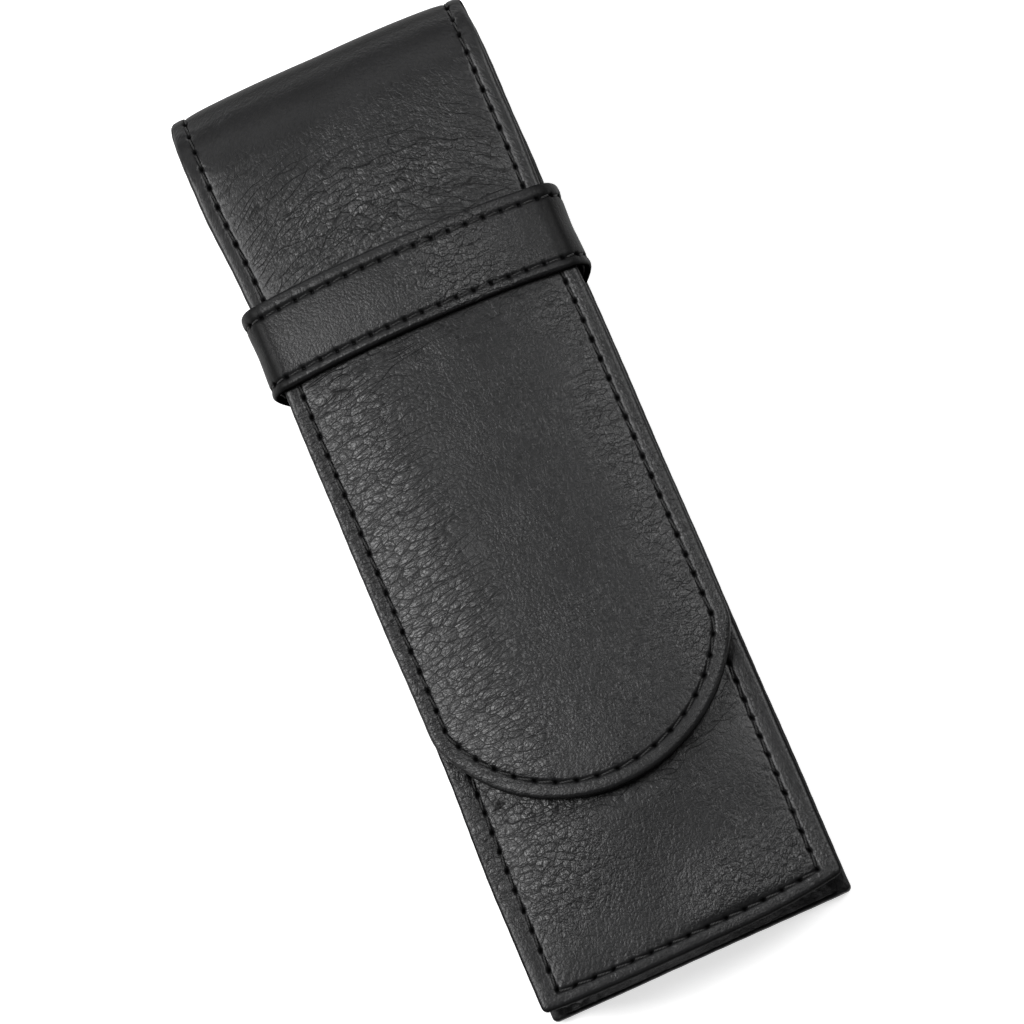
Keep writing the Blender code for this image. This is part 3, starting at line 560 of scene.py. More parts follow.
def towardsMiddle(low, high, ends):
    # where a point goes as rings close in on a line down the middle, which stops short of the ends
    shrink = (high - low - sum(ends)) / (high - low)

    def move(loop):
        return np.stack([0 * loop[:, 0], low + ends[0] + (loop[:, 1] - low) * shrink], 1)
    return move


# Rings run from the middle of the face, over the turned edge and back to the middle underneath.
# A ring is (inset, depth, share of the way from the innermost outline to the middle line).

def outerRings(seam):
    deep = layers["hemWidth"]
    face = [(deep, 0, s) for s in np.linspace(0.97, 0, 26)]
    steps = np.r_[np.linspace(deep, seam + 0.9, 4)[1:-1], seam + np.linspace(0.9, -0.9, 12),
                  np.linspace(seam - 0.9, 0.75, 5)[1:]]
    face += [(inset, 0, 0) for inset in steps]
    roll = [(*p, 0) for p in arcPoints((0.75, 0.75), 0.75, 270, 180, 8)[1:]]
    roll += [(*p, 0) for p in arcPoints((0.5, rim - 0.5), 0.5, 180, 90, 5)]
    thin, cover = rim - layers["hem"], layers["cover"]
    under = [(2.5, rim, 0), (deep, rim, 0), (deep, thin, 0), (1.15, thin, 0), (1.15, cover, 0)]
    under += [(deep, cover, 0), (deep, cover, 0.5), (deep, cover, 0.97)]
    return face + roll + under, len(face) - 1


def slabRings(inset, top, bottom, step=None):
    # a plain layer; step is where its edge is rebated, as (inset, depth)
    deep = layers["hemWidth"]
    rings = [(deep, top, s) for s in (0.97, 0.65, 0.33, 0)]
    rings += [(inset + 0.05, top, 0), (inset, top + 0.05, 0)]
    if step:
        rings += [(inset, step[1], 0), (step[0], step[1], 0)]
        return rings + [(step[0], bottom, s) for s in (0, 0.33, 0.65, 0.97)]
    rings += [(inset, bottom - 0.05, 0), (inset + 0.05, bottom, 0)]
    return rings + [(deep, bottom, s) for s in (0, 0.33, 0.65, 0.97)]


def gridFaces(index):
    return np.stack([index[:-1, :-1], index[:-1, 1:], index[1:, 1:], index[1:, :-1]], -1).reshape(-1, 4)


def tubeFaces(rows, columns):
    # quads over a grid whose last column meets its first
    index = np.arange(rows * columns).reshape(rows, columns)
    return gridFaces(np.hstack([index, index[:, :1]]))


class Panel:
    # an outline, its seam, and the way it is laid in the case

    def __init__(self, sides, seam, pitch, middle=None, yOf=None, lay=None, closed=False, crowned=False):
        self.sides, self.seam, self.pitch, self.middle = sides, seam, pitch, middle
        self.yOf, self.lay, self.closed, self.crowned = yOf, lay, closed, crowned

    def counts(self, step):
        # odd numbers on the ends let the two halves of a ring be zipped together down the middle
        counts = [max(3, round(travel(side)[-1] / step)) for side in self.sides(1.0)]
        counts[1] |= 1
        counts[2] = counts[0]
        if self.closed:
            counts[3] |= 1
        return counts

    def loop(self, inset, counts):
        sides = self.sides(inset)
        parts = [along(s, np.linspace(0, travel(s)[-1], n + 1))[:-1] for s, n in zip(sides, counts)]
        return np.vstack(parts + ([] if self.closed else [sides[-1][-1:]]))

    def outwards(self, counts):
        out = self.loop(0.0, counts) - self.loop(1.0, counts)
        return out / np.linalg.norm(out, axis=1)[:, None]

    def seamPlaces(self, counts):
        total, places = 0, []
        for side, n in zip(self.sides(self.seam), counts):
            length = travel(side)[-1]
            places.append(total + np.linspace(0, length, n + 1)[:-1])
            total += length
        places = np.concatenate(places + ([] if self.closed else [[total]]))
        return places, total / round(total / self.pitch)

    def grid(self, rings, step):
        counts = self.counts(step)
        loops = []
        for inset, depth, share in rings:
            loop = self.loop(inset, counts)
            loops.append(loop + share * (self.middle(loop) - loop))
        return np.array(loops), counts

    def faces(self, rows, counts):
        # quads between rings, and the first and last ring each zipped shut
        count = sum(counts) + (0 if self.closed else 1)
        index = np.arange(rows * count).reshape(rows, count)
        ringed = np.hstack([index, index[:, :1]]) if self.closed else index
        mirror = sum(counts[:3])
        first = -(counts[3] - 1) // 2 if self.closed else 0
        j = np.arange(first, (mirror - 1) // 2)
        ends = [np.stack([row[j % count], row[(j + 1) % count], row[(mirror - j - 1) % count],
                          row[(mirror - j) % count]], 1) for row in (index[0], index[-1])]
        return np.vstack([gridFaces(ringed), *ends])

    def place(self, across, place, depth):
        lift = crownAt(across, self.yOf(place)) if self.crowned else 0
        return self.lay(np.stack([across.ravel(), place.ravel(), (depth - lift).ravel()], 1))


# Meshes

def makePiece(name, co, faces, material, uv=None, cornerUv=None, uvName="leather", marks=None):
    mesh = bpy.data.meshes.new(name)
    corners = faces.ravel().astype(np.int32)
    mesh.vertices.add(len(co))
    mesh.vertices.foreach_set("co", (np.asarray(co) * mm).astype(np.float32).ravel())
    mesh.loops.add(len(corners))
    mesh.loops.foreach_set("vertex_index", corners)
    mesh.polygons.add(len(faces))
    mesh.polygons.foreach_set("loop_start", np.arange(0, len(corners), faces.shape[1], dtype=np.int32))
    mesh.update(calc_edges=True)
    if uv is not None or cornerUv is not None:
        values = cornerUv if cornerUv is not None else np.asarray(uv)[corners]
        layer = mesh.uv_layers.new(name=uvName)
        layer.data.foreach_set("uv", values.astype(np.float32).ravel())
    for mark, values in (marks or {}).items():
        attribute = mesh.attributes.new(mark, "FLOAT", "POINT")
        attribute.data.foreach_set("value", np.clip(values, 0, 1).ravel().astype(np.float32))
    closeUp(mesh)
    mesh.shade_smooth()
    mesh.set_sharp_from_angle(angle=math.radians(55))
    mesh.materials.append(material)
    obj = bpy.data.objects.new(name, mesh)
    bpy.context.scene.collection.objects.link(obj)
    return obj


def closeUp(mesh):
    # fills cut ends, and turns every face outwards
    solid = bmesh.new()
    solid.from_mesh(mesh)
    openEdges = [e for e in solid.edges if e.is_boundary]
    if openEdges:
        bmesh.ops.holes_fill(solid, edges=openEdges, sides=0)
    bmesh.ops.recalc_face_normals(solid, faces=solid.faces)
    if solid.calc_volume(signed=True) < 0:
        bmesh.ops.reverse_faces(solid, faces=solid.faces)
    solid.to_mesh(mesh)
    solid.free()


def settle(piece, node):
    # the piece stands for the node, and belongs to the pouch
    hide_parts(node)
    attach(piece, "pouch")


# The outer leather of back, flap and front

seamLook = dict(groove=0.30, grooveWidth=0.28, pillow=0.08, pull=0.20, pullReach=1.5, pucker=0.06,
                crease=0.04, hole=0.6, holeLength=0.38, holeWidth=0.17, holeTurn=50,
                shade=0.4, shadeWidth=0.22, holeShade=1.5, waver=0.07, scallop=0.015)


def fromHole(at, pitch):
    # the way along a seam from the nearest hole
    return (at / pitch - np.round(at / pitch)) * pitch


def stitchHoles(nearest, off):
    # where two stitches meet, a slit set across the seam at a slant and a fainter one crossing it
    holes = 0
    for degrees, share in ((seamLook["holeTurn"], 1), (-seamLook["holeTurn"], 0.6)):
        turn = math.radians(degrees)
        lengthways = nearest * math.cos(turn) + off * math.sin(turn)
        sideways = nearest * math.sin(turn) - off * math.cos(turn)
        slit = bell(lengthways / seamLook["holeLength"]) * bell(sideways / seamLook["holeWidth"])
        holes = np.maximum(holes, share * slit)
    return holes


def seamRelief(inset, at, seam, pitch):
    # a groove, a round pillow outside it, a slit with puckers where two stitches meet, and fine
    # creases that run off from the seam
    look, off, nearest = seamLook, inset - seam, fromHole(at, pitch)
    relief = -look["groove"] * bell(off / look["grooveWidth"])
    swell = 1 - 0.2 * bell(nearest / 0.8)
    relief = relief + look["pillow"] * near(inset, 0.5 * seam, 0.33 * seam) * swell
    relief = relief - np.where(off > 0, look["pull"] * np.exp(-np.abs(off) / look["pullReach"]), 0)
    relief = relief - look["hole"] * stitchHoles(nearest, off)
    relief = relief + look["crease"] * creases(at / 1.1, off / 5, 109, 0.25) * near(off, 1.2, 1.3)
    return relief - look["pucker"] * bell(nearest / 0.3) * bell(off / 1.1)


def seamShade(off, nearest, holeShade):
    # painted shade: dark along the seam's groove and darker in the stitch holes
    return seamLook["shade"] * bell(off / seamLook["shadeWidth"]) + holeShade * stitchHoles(nearest, off)


def offSeams(x):
    # dies away towards the seams at the sides
    return falls(np.abs(x), 24, 5)


flapWear = dict(arcDepth=0.045, arcSpacing=2.6, crackDepth=0.03, lowDepth=0.09, swell=0.10,
                strapTop=43.6, strapFoot=28.5, arcFoot=40.5, arcRise=9.0, arcSpread=0.4,
                packed=0.20, drawnOut=0.36, turned=0.14)

# on the flap, as (place, over): where a thing starts, ends or is strongest, and how far it takes
flapZones = dict(arcTop=(68, 16), arcSides=(25, 4), crackSide=(0, 18), crackFoot=(-45, 25),
                 flowTop=(104, 60), flowSide=(2, 18), flowFoot=(-56, 30),
                 lineTop=(72, 14), lineSide=(2, 18), lineFoot=(-52, 24),
                 coarseUpper=(51, 9), coarseStart=(-26, 16), coarseSide=(-6, 12), coarseFoot=(-62, 14),
                 coarseRight=(14, 8), coarseTop=(30, 6), fineTop=(84, 26))

flapMarks = dict(lineUpper=0.65, lineLeft=0.6, lineBelow=0.4,
                 grain=0.15, upper=0.42, left=0.85, right=0.4, varied=0.22, least=0.08)


def flapCreases(x, y):
    # arcs that run together at the strap's two ends, and cracks across the left and under the strap
    look, zone = flapWear, flapZones
    top, foot = look["strapTop"], look["strapFoot"]
    rise = (y - top + 2.5) / np.clip(1 - (x / half) ** 2, 0.10, 1)
    arcs = creases(rise / look["arcSpacing"], x / 14, 11, 0.18)
    for side, seed in ((1, 17), (-1, 19)):
        arcs = arcs + 0.8 * creases(rise / 4 + side * x / 9, x / 8, seed, 0.12)
    arcs = arcs * rises(y, top - 3, 4) * falls(y, *zone["arcTop"]) * falls(np.abs(x), *zone["arcSides"])
    cracks = creases(x / 9, y / 1.9 + x / 14, 23, 0.16) * falls(y, foot, 4)
    cracks = cracks * falls(x, *zone["crackSide"]) * rises(y, *zone["crackFoot"])
    low = creases(x / 6, y / 1.4, 29, 0.18) * near(y, foot - 2, 3) * offSeams(x)
    return look["arcDepth"] * arcs + look["crackDepth"] * cracks + look["lowDepth"] * low


def flapSwell(x, y):
    return flapWear["swell"] * layeredNoise(x / 13, y / 17, 31)


def flapFlow(x, y):
    # where the leather's grain is taken from: above the strap it is drawn out along arcs that run
    # together at the strap's ends, and on the left across the case
    look, zone, middle = flapWear, flapZones, 45
    above = rises(y, look["strapTop"] - 5, 4) * falls(y, *zone["flowTop"])
    left = falls(x, *zone["flowSide"]) * rises(y, *zone["flowFoot"]) * falls(y, look["strapFoot"] + 9, 8)
    size = 1 - look["packed"] * above
    arc = (x / 27) ** 2 * (look["arcSpread"] * (y - look["arcFoot"]) + look["arcRise"])
    ahead = middle + size * (y - middle + above * arc) - look["turned"] * (x + 8) * left
    return np.stack([x * (size - look["drawnOut"] * left), ahead], -1)


def flapLines(x, y):
    # above the strap, down the left and just under the strap
    zone, mark, foot = flapZones, flapMarks, flapWear["strapFoot"]
    above = rises(y, flapWear["strapTop"] - 5, 4) * falls(y, *zone["lineTop"])
    left = falls(x, *zone["lineSide"]) * rises(y, *zone["lineFoot"]) * falls(y, foot + 3, 4)
    below = falls(y, foot + 3, 4) * rises(y, foot - 8, 7)
    return mark["lineUpper"] * above + mark["lineLeft"] * left + mark["lineBelow"] * below


def flapGrain(x, y):
    # coarse above the strap and down the left, fine in the middle, and smooth over the fold
    zone, mark = flapZones, flapMarks
    upper = near(y, *zone["coarseUpper"]) * rises(x, *zone["coarseStart"])
    below = falls(y, *zone["coarseTop"])
    left = falls(x, *zone["coarseSide"]) * rises(y, *zone["coarseFoot"]) * below
    right = rises(x, *zone["coarseRight"]) * below
    grain = mark["grain"] + mark["upper"] * upper + mark["left"] * left + mark["right"] * right
    grain = grain + mark["varied"] * layeredNoise(x / 8, y / 8, 53)
    return np.clip(grain, mark["least"], 1) * falls(y, *zone["fineTop"])


frontWear = dict(tipRise=14.0, pressDepth=0.07, tipSink=0.15, cushion=0.55, swell=0.08)

# on the front, as (place, over); tip is counted up from the flap's round end
frontZones = dict(tip=(-2, 4), cushionSide=(9, 8), cushionFoot=(-73, 8), lineSide=(-8, 10),
                  lineFoot=(-68, 10), coarseLow=(-62, 12), coarseRight=(-2, 16),
                  coarseLeft=(-2, 14), coarseFoot=(-76, 22))

frontMarks = dict(lineLeft=0.6, lineTip=0.5, grain=0.12, low=0.45, left=0.85, varied=0.15, least=0.05)


def fromTip(x, y):
    # the way up from the flap's round end
    return y - topEnd + case["flapReach"] - frontWear["tipRise"] * (np.abs(x) / half) ** 2


def frontCreases(x, y):
    # short wrinkles where the flap's round end has pressed
    tip = fromTip(x, y)
    pressed = near(tip, *frontZones["tip"]) * offSeams(x)
    return frontWear["pressDepth"] * creases(x / 2.2, tip / 3.5, 37, 0.16) * pressed


def frontSwell(x, y):
    # sunk under the round end, and cushioned above the foot's right half
    look, zone = frontWear, frontZones
    cushion = look["cushion"] * near(x, *zone["cushionSide"]) * near(y, *zone["cushionFoot"])
    sunk = look["tipSink"] * bell(fromTip(x, y) / 2.5)
    return look["swell"] * layeredNoise(x / 11, y / 14, 41) - sunk + cushion


def frontLines(x, y):
    left = falls(x, *frontZones["lineSide"]) * rises(y, *frontZones["lineFoot"])
    return frontMarks["lineLeft"] * left + frontMarks["lineTip"] * near(fromTip(x, y), *frontZones["tip"])


def frontGrain(x, y):
    # coarse down the left and in the lower right corner
    zone, mark = frontZones, frontMarks
    low = falls(y, *zone["coarseLow"]) * rises(x, *zone["coarseRight"])
    left = falls(x, *zone["coarseLeft"]) * rises(y, *zone["coarseFoot"])
    grain = mark["grain"] + mark["low"] * low + mark["left"] * left
    return np.clip(grain + mark["varied"] * layeredNoise(x / 8, y / 8, 59), mark["least"], 1)


backWear = dict(creaseDepth=0.05, swell=0.03, lines=0.3, grain=0.5, varied=0.4)


def backCreases(x, y):
    return backWear["creaseDepth"] * creases(x / 8, y / 6, 43, 0.10) * offSeams(x)


def backSwell(x, y):
    return backWear["swell"] * layeredNoise(x / 12, y / 15, 47)


def backLines(x, y):
    return backWear["lines"] + 0 * x


def backGrain(x, y):
    return backWear["grain"] + backWear["varied"] * layeredNoise(x / 9, y / 9, 61)


def plainFlow(x, y):
    return np.stack([x, y], -1)


# each panel's small forms and marks; turned is how much painted shade lies on its turned edge
panelForms = dict(
    back=dict(wrinkles=backCreases, swell=backSwell, grain=backGrain, lines=backLines,
              flow=plainFlow, turned=0.3),
    flap=dict(wrinkles=flapCreases, swell=flapSwell, grain=flapGrain, lines=flapLines,
              flow=flapFlow, turned=0.5),
    front=dict(wrinkles=frontCreases, swell=frontSwell, grain=frontGrain, lines=frontLines,
               flow=plainFlow, turned=0.75))

coverForm = dict(faceDepth=0.9, rollRows=9, waverFades=2.5, formsOver=1.5, marksOver=2.0, rimGrain=0.45,
                 foldShade=3.0, turnedFrom=0.06, turnedOver=0.2, rimShade=0.55, rimFrom=1.0, rimTo=10.5)


def rimShade(place):
    # the fold's rim is given painted shade, and loses its shine
    past, form = place - split, coverForm
    return form["rimShade"] * rises(past, form["rimFrom"], 3) * falls(past, form["rimTo"], 3.5)


def makeCover(name, panel, forms, step=0.30):
    form, (rings, edge) = coverForm, outerRings(panel.seam)
    loops, counts = panel.grid(rings, step)
    inset = np.array([r[0] + 20 * r[2] for r in rings])[:, None]
    depth = np.array([r[1] for r in rings])[:, None]
    at, pitch = panel.seamPlaces(counts)
    out = panel.outwards(counts)
    worked = (np.arange(len(rings)) < edge + form["rollRows"])[:, None]
    onFace = np.clip(1 - depth / form["faceDepth"], 0, 1) * worked
    scallop = seamLook["scallop"] * np.cos(2 * math.pi * at / pitch + math.pi)
    waver = seamLook["waver"] * noise(at / 8, 0 * at, 67) + scallop
    shape = loops + out[None] * (waver * np.exp(-inset / form["waverFades"]))[..., None]
    x, place = shape[..., 0], shape[..., 1]
    y = panel.yOf(place)
    inside = rises(inset, panel.seam, form["formsOver"])
    folds = forms["wrinkles"](x, y) * inside
    height = seamRelief(inset, at[None], panel.seam, pitch) + folds + forms["swell"](x, y) * inside
    co = panel.place(x, place, depth - onFace * height)
    # past the face, the flat leather goes on outwards by the distance round the edge
    section = np.array([r[:2] for r in rings])
    beyond = np.r_[np.zeros(edge), travel(section[edge:])][:, None, None]
    unrolled = np.where(beyond > 0, loops[edge][None] + out[None] * beyond, loops)
    unrolled = forms["flow"](unrolled[..., 0], panel.yOf(unrolled[..., 1]))
    # painted shade in the seam's groove and holes, a little varied along it, in the folds, on the turned edge
    # and on the fold's rim
    varied = 1 + 0.35 * noise(at / pitch * 1.7, 0 * at, 113)
    sewn = seamShade(inset - panel.seam, fromHole(at[None], pitch), seamLook["holeShade"]) * varied
    dark = np.where(onFace > 0, sewn + form["foldShade"] * np.maximum(-folds, 0), 0)
    dark = dark + forms["turned"] * rises(depth, form["turnedFrom"], form["turnedOver"])
    inwards = rises(inset, panel.seam, form["marksOver"])
    marks = {"coarse": forms["grain"](x, y) * (form["rimGrain"] + (1 - form["rimGrain"]) * inwards),
             "shade": dark + rimShade(place), "lines": forms["lines"](x, y) * inwards}
    piece = makePiece(name, co, panel.faces(len(rings), counts), outerLeather,
                      uv=unrolled.reshape(-1, 2) / 100, marks=marks)
    print(name, len(co), "points")
    return piece


def makeSlab(name, panel, rings, material, step=1.1):
    loops, counts = panel.grid(rings, step)
    depth = np.array([r[1] for r in rings])[:, None] + 0 * loops[..., 0]
    co = panel.place(loops[..., 0], loops[..., 1], depth)
    uv = loops.reshape(-1, 2) / 100
    return makePiece(name, co, panel.faces(len(rings), counts), material, uv=uv)


# Sewn rows: every stitch is a short tube that rises from one hole and dives into the next

stitch = dict(radius=0.17, points=9, sides=6, rest=0.20, dive=0.85, slant=0.17, gap=0.30)


def makeStitches(name, path, pitch, lay, radius=None):
    # lay takes (across, along, depth) to the case; path is a flat polyline
    radius = radius or stitch["radius"]
    total = travel(path)[-1]
    count = round(total / pitch)
    pitch = total / count
    t = np.linspace(-1, 1, stitch["points"])
    at = (np.arange(count)[:, None] + 0.5) * pitch + t * (pitch / 2 - stitch["gap"])
    centre = along(path, at)
    ahead = along(path, np.minimum(at + 0.05, total)) - along(path, np.maximum(at - 0.05, 0))
    ahead /= np.linalg.norm(ahead, axis=-1)[..., None]
    side = np.stack([ahead[..., 1], -ahead[..., 0]], -1)
    order = np.arange(count) * 0.9
    lean = stitch["slant"] * (1 + 0.3 * noise(order, 0 * order, 71))[:, None] * t
    depth = stitch["rest"] + stitch["dive"] * np.abs(t) ** 5 + 0 * at
    angle = np.arange(stitch["sides"]) * 2 * math.pi / stitch["sides"]
    thick = radius * (1 - 0.3 * t**6)[None, :, None]
    reach = (lean[..., None] + thick * np.cos(angle))[..., None] * side[:, :, None]
    deep = (depth[..., None] + thick * np.sin(angle))[..., None]
    co = lay(np.concatenate([centre[:, :, None] + reach, deep], -1).reshape(-1, 3))
    n, m = stitch["points"], stitch["sides"]
    faces = (np.arange(count)[:, None, None] * n * m + tubeFaces(n, m)).reshape(-1, 4)
    around, down = np.meshgrid(np.arange(m + 1) / m, t * pitch / 2)
    spots = np.stack([around, down], -1).reshape(-1, 2)
    cornerUv = spots[gridFaces(np.arange(n * (m + 1)).reshape(n, m + 1))].reshape(-1, 2)
    return makePiece(name, co, faces, waxedThread, uvName="thread",
                     cornerUv=np.tile(cornerUv, (count, 1)) / 100)


def panelRow(name, panel):
    sides = panel.sides(panel.seam)
    path = np.vstack([s[:-1] for s in sides] + [sides[0][:1] if panel.closed else sides[-1][-1:]])
    return makeStitches(name, path, panel.pitch, lambda flat: panel.place(*flat.T))


# The strap: a section carried round the case, from the seam on one side to that on the other

strap = dict(width=14.9, middle=strapMiddle, cover=0.7, tape=0.3, lining=0.4, glue=0.08, air=0.25, hem=5.0,
             setback=1.0, corner=3.6, heel=1.5, foot=2.7, tabInset=4.2, lean=1.9, crown=1.35, drop=6.0,
             upperSeam=2.35, lowerSeam=1.8, pitch=3.1, thread=0.16, groove=0.28, pillow=0.14, cushion=0.16,
             hole=0.6, holeShade=1.4, pucker=0.05, bow=0.75, bowHalf=25.31, tilt=0.008, taper=0.4,
             sink=0.35, pared=0.2, thin=0.38, swell=0.06, foldedShade=0.45, endShade=0.55)

# the strap's grain along its length, as (place, over)
strapGrain = dict(grain=0.07, middle=0.66, middleAt=(9, 9), varied=0.12, least=0.04,
                  lines=0.2, linesFrom=(-4, 12), linesTo=(22, 6))


def makeStrapProfile():
    # right half: over the crown, round the shoulder, down, round the heel and in along the seam
    thick = strap["cover"] + strap["tape"] + strap["lining"] + 2 * strap["glue"]
    face = case["depth"] + strap["air"] + thick
    side = half + 0.15 + strap["air"] + thick
    x = np.linspace(0, side - strap["corner"], 160)
    over = (1 - (x / x[-1]) ** 2) ** 1.5
    top = np.stack([x, face + strap["crown"] * over], 1)
    turn = np.radians(np.linspace(90, 0, 31))
    shoulder = np.stack([side - strap["corner"] * (1 - np.cos(turn)),
                         top[-1, 1] - strap["drop"] * (1 - np.sin(turn))], 1)
    # below the shoulder it draws in towards the case
    share = np.linspace(0, 1, 30)
    low = strap["foot"] + strap["heel"]
    fallen = shoulder[-1, 1] + (low - shoulder[-1, 1]) * share
    down = np.stack([side - strap["lean"] * share**1.7, fallen], 1)
    heel = arcPoints((side - strap["lean"] - strap["heel"], low), strap["heel"], 0, -90, 20)
    points = np.vstack([top, shoulder[1:], down[1:], heel[1:], [(half - strap["tabInset"], strap["foot"])]])
    at = travel(points)
    ahead = np.gradient(points, at, axis=0)
    ahead /= np.linalg.norm(ahead, axis=1)[:, None]
    return at, points, np.stack([ahead[:, 1], -ahead[:, 0]], 1), at[-2]


strapAt, strapPoints, strapIn, strapHeel = makeStrapProfile()
strapEnd = strapAt[-1]
strapShoulder = np.interp(half - 0.5, strapPoints[:160, 0], strapAt[:160])


def foldStrap(flat):
    # flat is (across the strap, along it from its middle, depth)
    c, s, depth = flat.T
    at, turn = np.abs(s), np.where(s < 0, -1, 1)
    x, z = (np.interp(at, strapAt, strapPoints[:, k]) for k in (0, 1))
    inX, inZ = (np.interp(at, strapAt, strapIn[:, k]) for k in (0, 1))
    size = np.hypot(inX, inZ)
    # it is pared a little at the shoulder and down to its thin tab at the heel
    pared = strap["pared"] * rises(at, strapShoulder - 2, 3)
    pared = pared + (1 - strap["pared"] - strap["thin"]) * rises(at, strapHeel - 13, 11)
    depth = depth * (1 - pared)
    y = strap["middle"] + c - strap["tilt"] * turn * x
    y = y + strap["bow"] * (1 - np.clip(x / strap["bowHalf"], 0, 1) ** 3)
    # towards its ends the lower edge is drawn up
    y = y + strap["taper"] * falls(z, 19, 14) * rises(x, 20, 6) * smooth(0.5 - c / strap["width"])
    # between its seams it sinks in at the sides
    x = x - strap["sink"] * rises(x, 26, 2) * bell(c / 4.2) * rises(z, 8, 6)
    return skewBottom(np.stack([turn * (x + depth * inX / size), y, z + depth * inZ / size], 1))


def strapSeam(c, s):
    # the way from the nearer seam, outwards, the way along it from the nearest hole, and where it is
    line = strap["width"] / 2 - np.where(c > 0, strap["upperSeam"], strap["lowerSeam"])
    return np.abs(c) - line, fromHole(s, strap["pitch"]) * np.where(c > 0, -1, 1), line


def strapRelief(c, s):
    # rolled edges outside two grooves, a soft middle between them
    off, nearest, line = strapSeam(c, s)
    relief = -strap["groove"] * bell(off / seamLook["grooveWidth"])
    relief = relief + strap["pillow"] * near(off, 1.1, 0.7) * (1 - 0.2 * bell(nearest / 0.7))
    relief = relief + strap["cushion"] * np.clip(1 - (c / line) ** 2, 0, 1)
    relief = relief - strap["hole"] * stitchHoles(nearest, off)
    relief = relief - strap["pucker"] * bell(nearest / 0.3) * bell(off / 1.0)
    return relief + strap["swell"] * layeredNoise(s / 10, c / 8, 79)


def strapMarks(c, s, share):
    # coarse to the right of the middle and fine towards the left end; painted shade in the seams, where it
    # is turned under and at its ends, where it goes round the sides
    form, (off, nearest, _) = strapGrain, strapSeam(c, s)
    coarse = form["grain"] + form["middle"] * near(s, *form["middleAt"])
    coarse = coarse + form["varied"] * layeredNoise(s / 7, c / 7, 83)
    lines = form["lines"] * rises(s, *form["linesFrom"]) * falls(s, *form["linesTo"])
    shade = share * seamShade(off, nearest, strap["holeShade"]) + strap["foldedShade"] * (1 - share)
    shade = shade + strap["endShade"] * rises(np.abs(s), strapShoulder - 1.5, 3)
    return {"coarse": np.clip(coarse, form["least"], 1), "shade": shade, "lines": lines}


def strapSection():
    # (across, depth, share of relief) round the cover, whose two edges are turned under
    edge, w, thin = 0.6, strap["width"] / 2, strap["cover"]
    under = strap["cover"] + strap["glue"] + strap["tape"]
    hem, fine = w - strap["hem"], under - 0.3
    face = [(c, 0, 1) for c in np.linspace(0, w - edge, 28)]
    roll = [(*p, max(0, 1 - 1.2 * p[1] / edge)) for p in arcPoints((w - edge, edge), edge, 270, 360, 7)[1:]]
    roll += [(*p, 0) for p in arcPoints((w - 0.25, under - 0.25), 0.25, 0, 90, 4)]
    back = [(w - 2, under, 0), (hem, under, 0), (hem, fine, 0), (w - 0.75, fine, 0), (w - 0.75, thin, 0)]
    right = np.array(face + roll + back, float)
    left = right[1:][::-1] * (-1, 1, 1)
    return np.vstack([left, right])


def slabSection(reach, top, bottom):
    c, middle = np.linspace(-reach, reach, 12), (top + bottom) / 2
    over, under = [(v, top, 0) for v in c], [(v, bottom, 0) for v in c[::-1]]
    return np.array(over + [(reach + 0.05, middle, 0)] + under + [(-reach - 0.05, middle, 0)])


def makeTube(name, section, stations, material, worked=False):
    # a closed section of (across, depth, share) at every station along the strap
    c, depth, share = (section[:, k][None] + 0 * stations[:, None] for k in (0, 1, 2))
    s = stations[:, None] + 0 * c
    if worked:
        depth = depth - share * strapRelief(c, s)
    co = foldStrap(np.stack([c.ravel(), s.ravel(), depth.ravel()], 1))
    around = travel(section[:, :2])[None] + 0 * s
    uv = np.stack([s + 40, around], -1).reshape(-1, 2) / 100
    marks = strapMarks(c, s, share) if worked else None
    return makePiece(name, co, tubeFaces(*c.shape), material, uv=uv, marks=marks)


def makeStrap():
    stations = np.linspace(-strapEnd, strapEnd, 560)
    shorter = np.linspace(-strapHeel, strapHeel, 160)
    w, top = strap["width"] / 2, strap["cover"] + strap["glue"]
    settle(makeTube("strapLeather", strapSection(), stations, outerLeather, worked=True),
           "strap_cover")
    section = slabSection(w - strap["hem"] - strap["glue"], top, top + strap["tape"])
    settle(makeTube("strapTape", section, shorter, wovenTape), "strap_tape")
    top = top + strap["tape"] + strap["glue"]
    section = slabSection(w - strap["setback"], top, top + strap["lining"])
    settle(makeTube("strapLining", section, shorter, liningLeather), "strap_lining")
    reach = math.floor((strapHeel - 1) / strap["pitch"]) * strap["pitch"]
    for name, nodeName, c in (("strapThreadLower", "strap_stitching_lower", strap["lowerSeam"] - w),
                              ("strapThreadUpper", "strap_stitching_upper", w - strap["upperSeam"])):
        path = np.array([(c, -reach), (c, reach)])
        settle(makeStitches(name, path, strap["pitch"], foldStrap, radius=strap["thread"]), nodeName)


# The gusset: a channel carried round the pocket's three sides

gusset = dict(low=2.7, high=14.5, thick=0.9, web=0.35, flange=5.5, flangeStart=3.0, round=0.6, bow=0.5,
              corner=2.0, growth=0.3, gap=0.1, lining=0.5, pucker=0.65, crumple=0.3, swell=0.12, sunk=1.1,
              lift=0.68, topShade=0.6, foldShade=1.3, grain=0.5, varied=0.3, lines=0.5)


def gussetSides(inset):
    return pocketSides(half - inset, gusset["corner"] + gusset["growth"] * inset, bottomEnd + inset, mouth)


def wallSection(inset, low, high, steps):
    share = np.linspace(0, 1, steps)
    return [(inset + gusset["bow"] * math.sin(math.pi * t), low + (high - low) * t) for t in share]


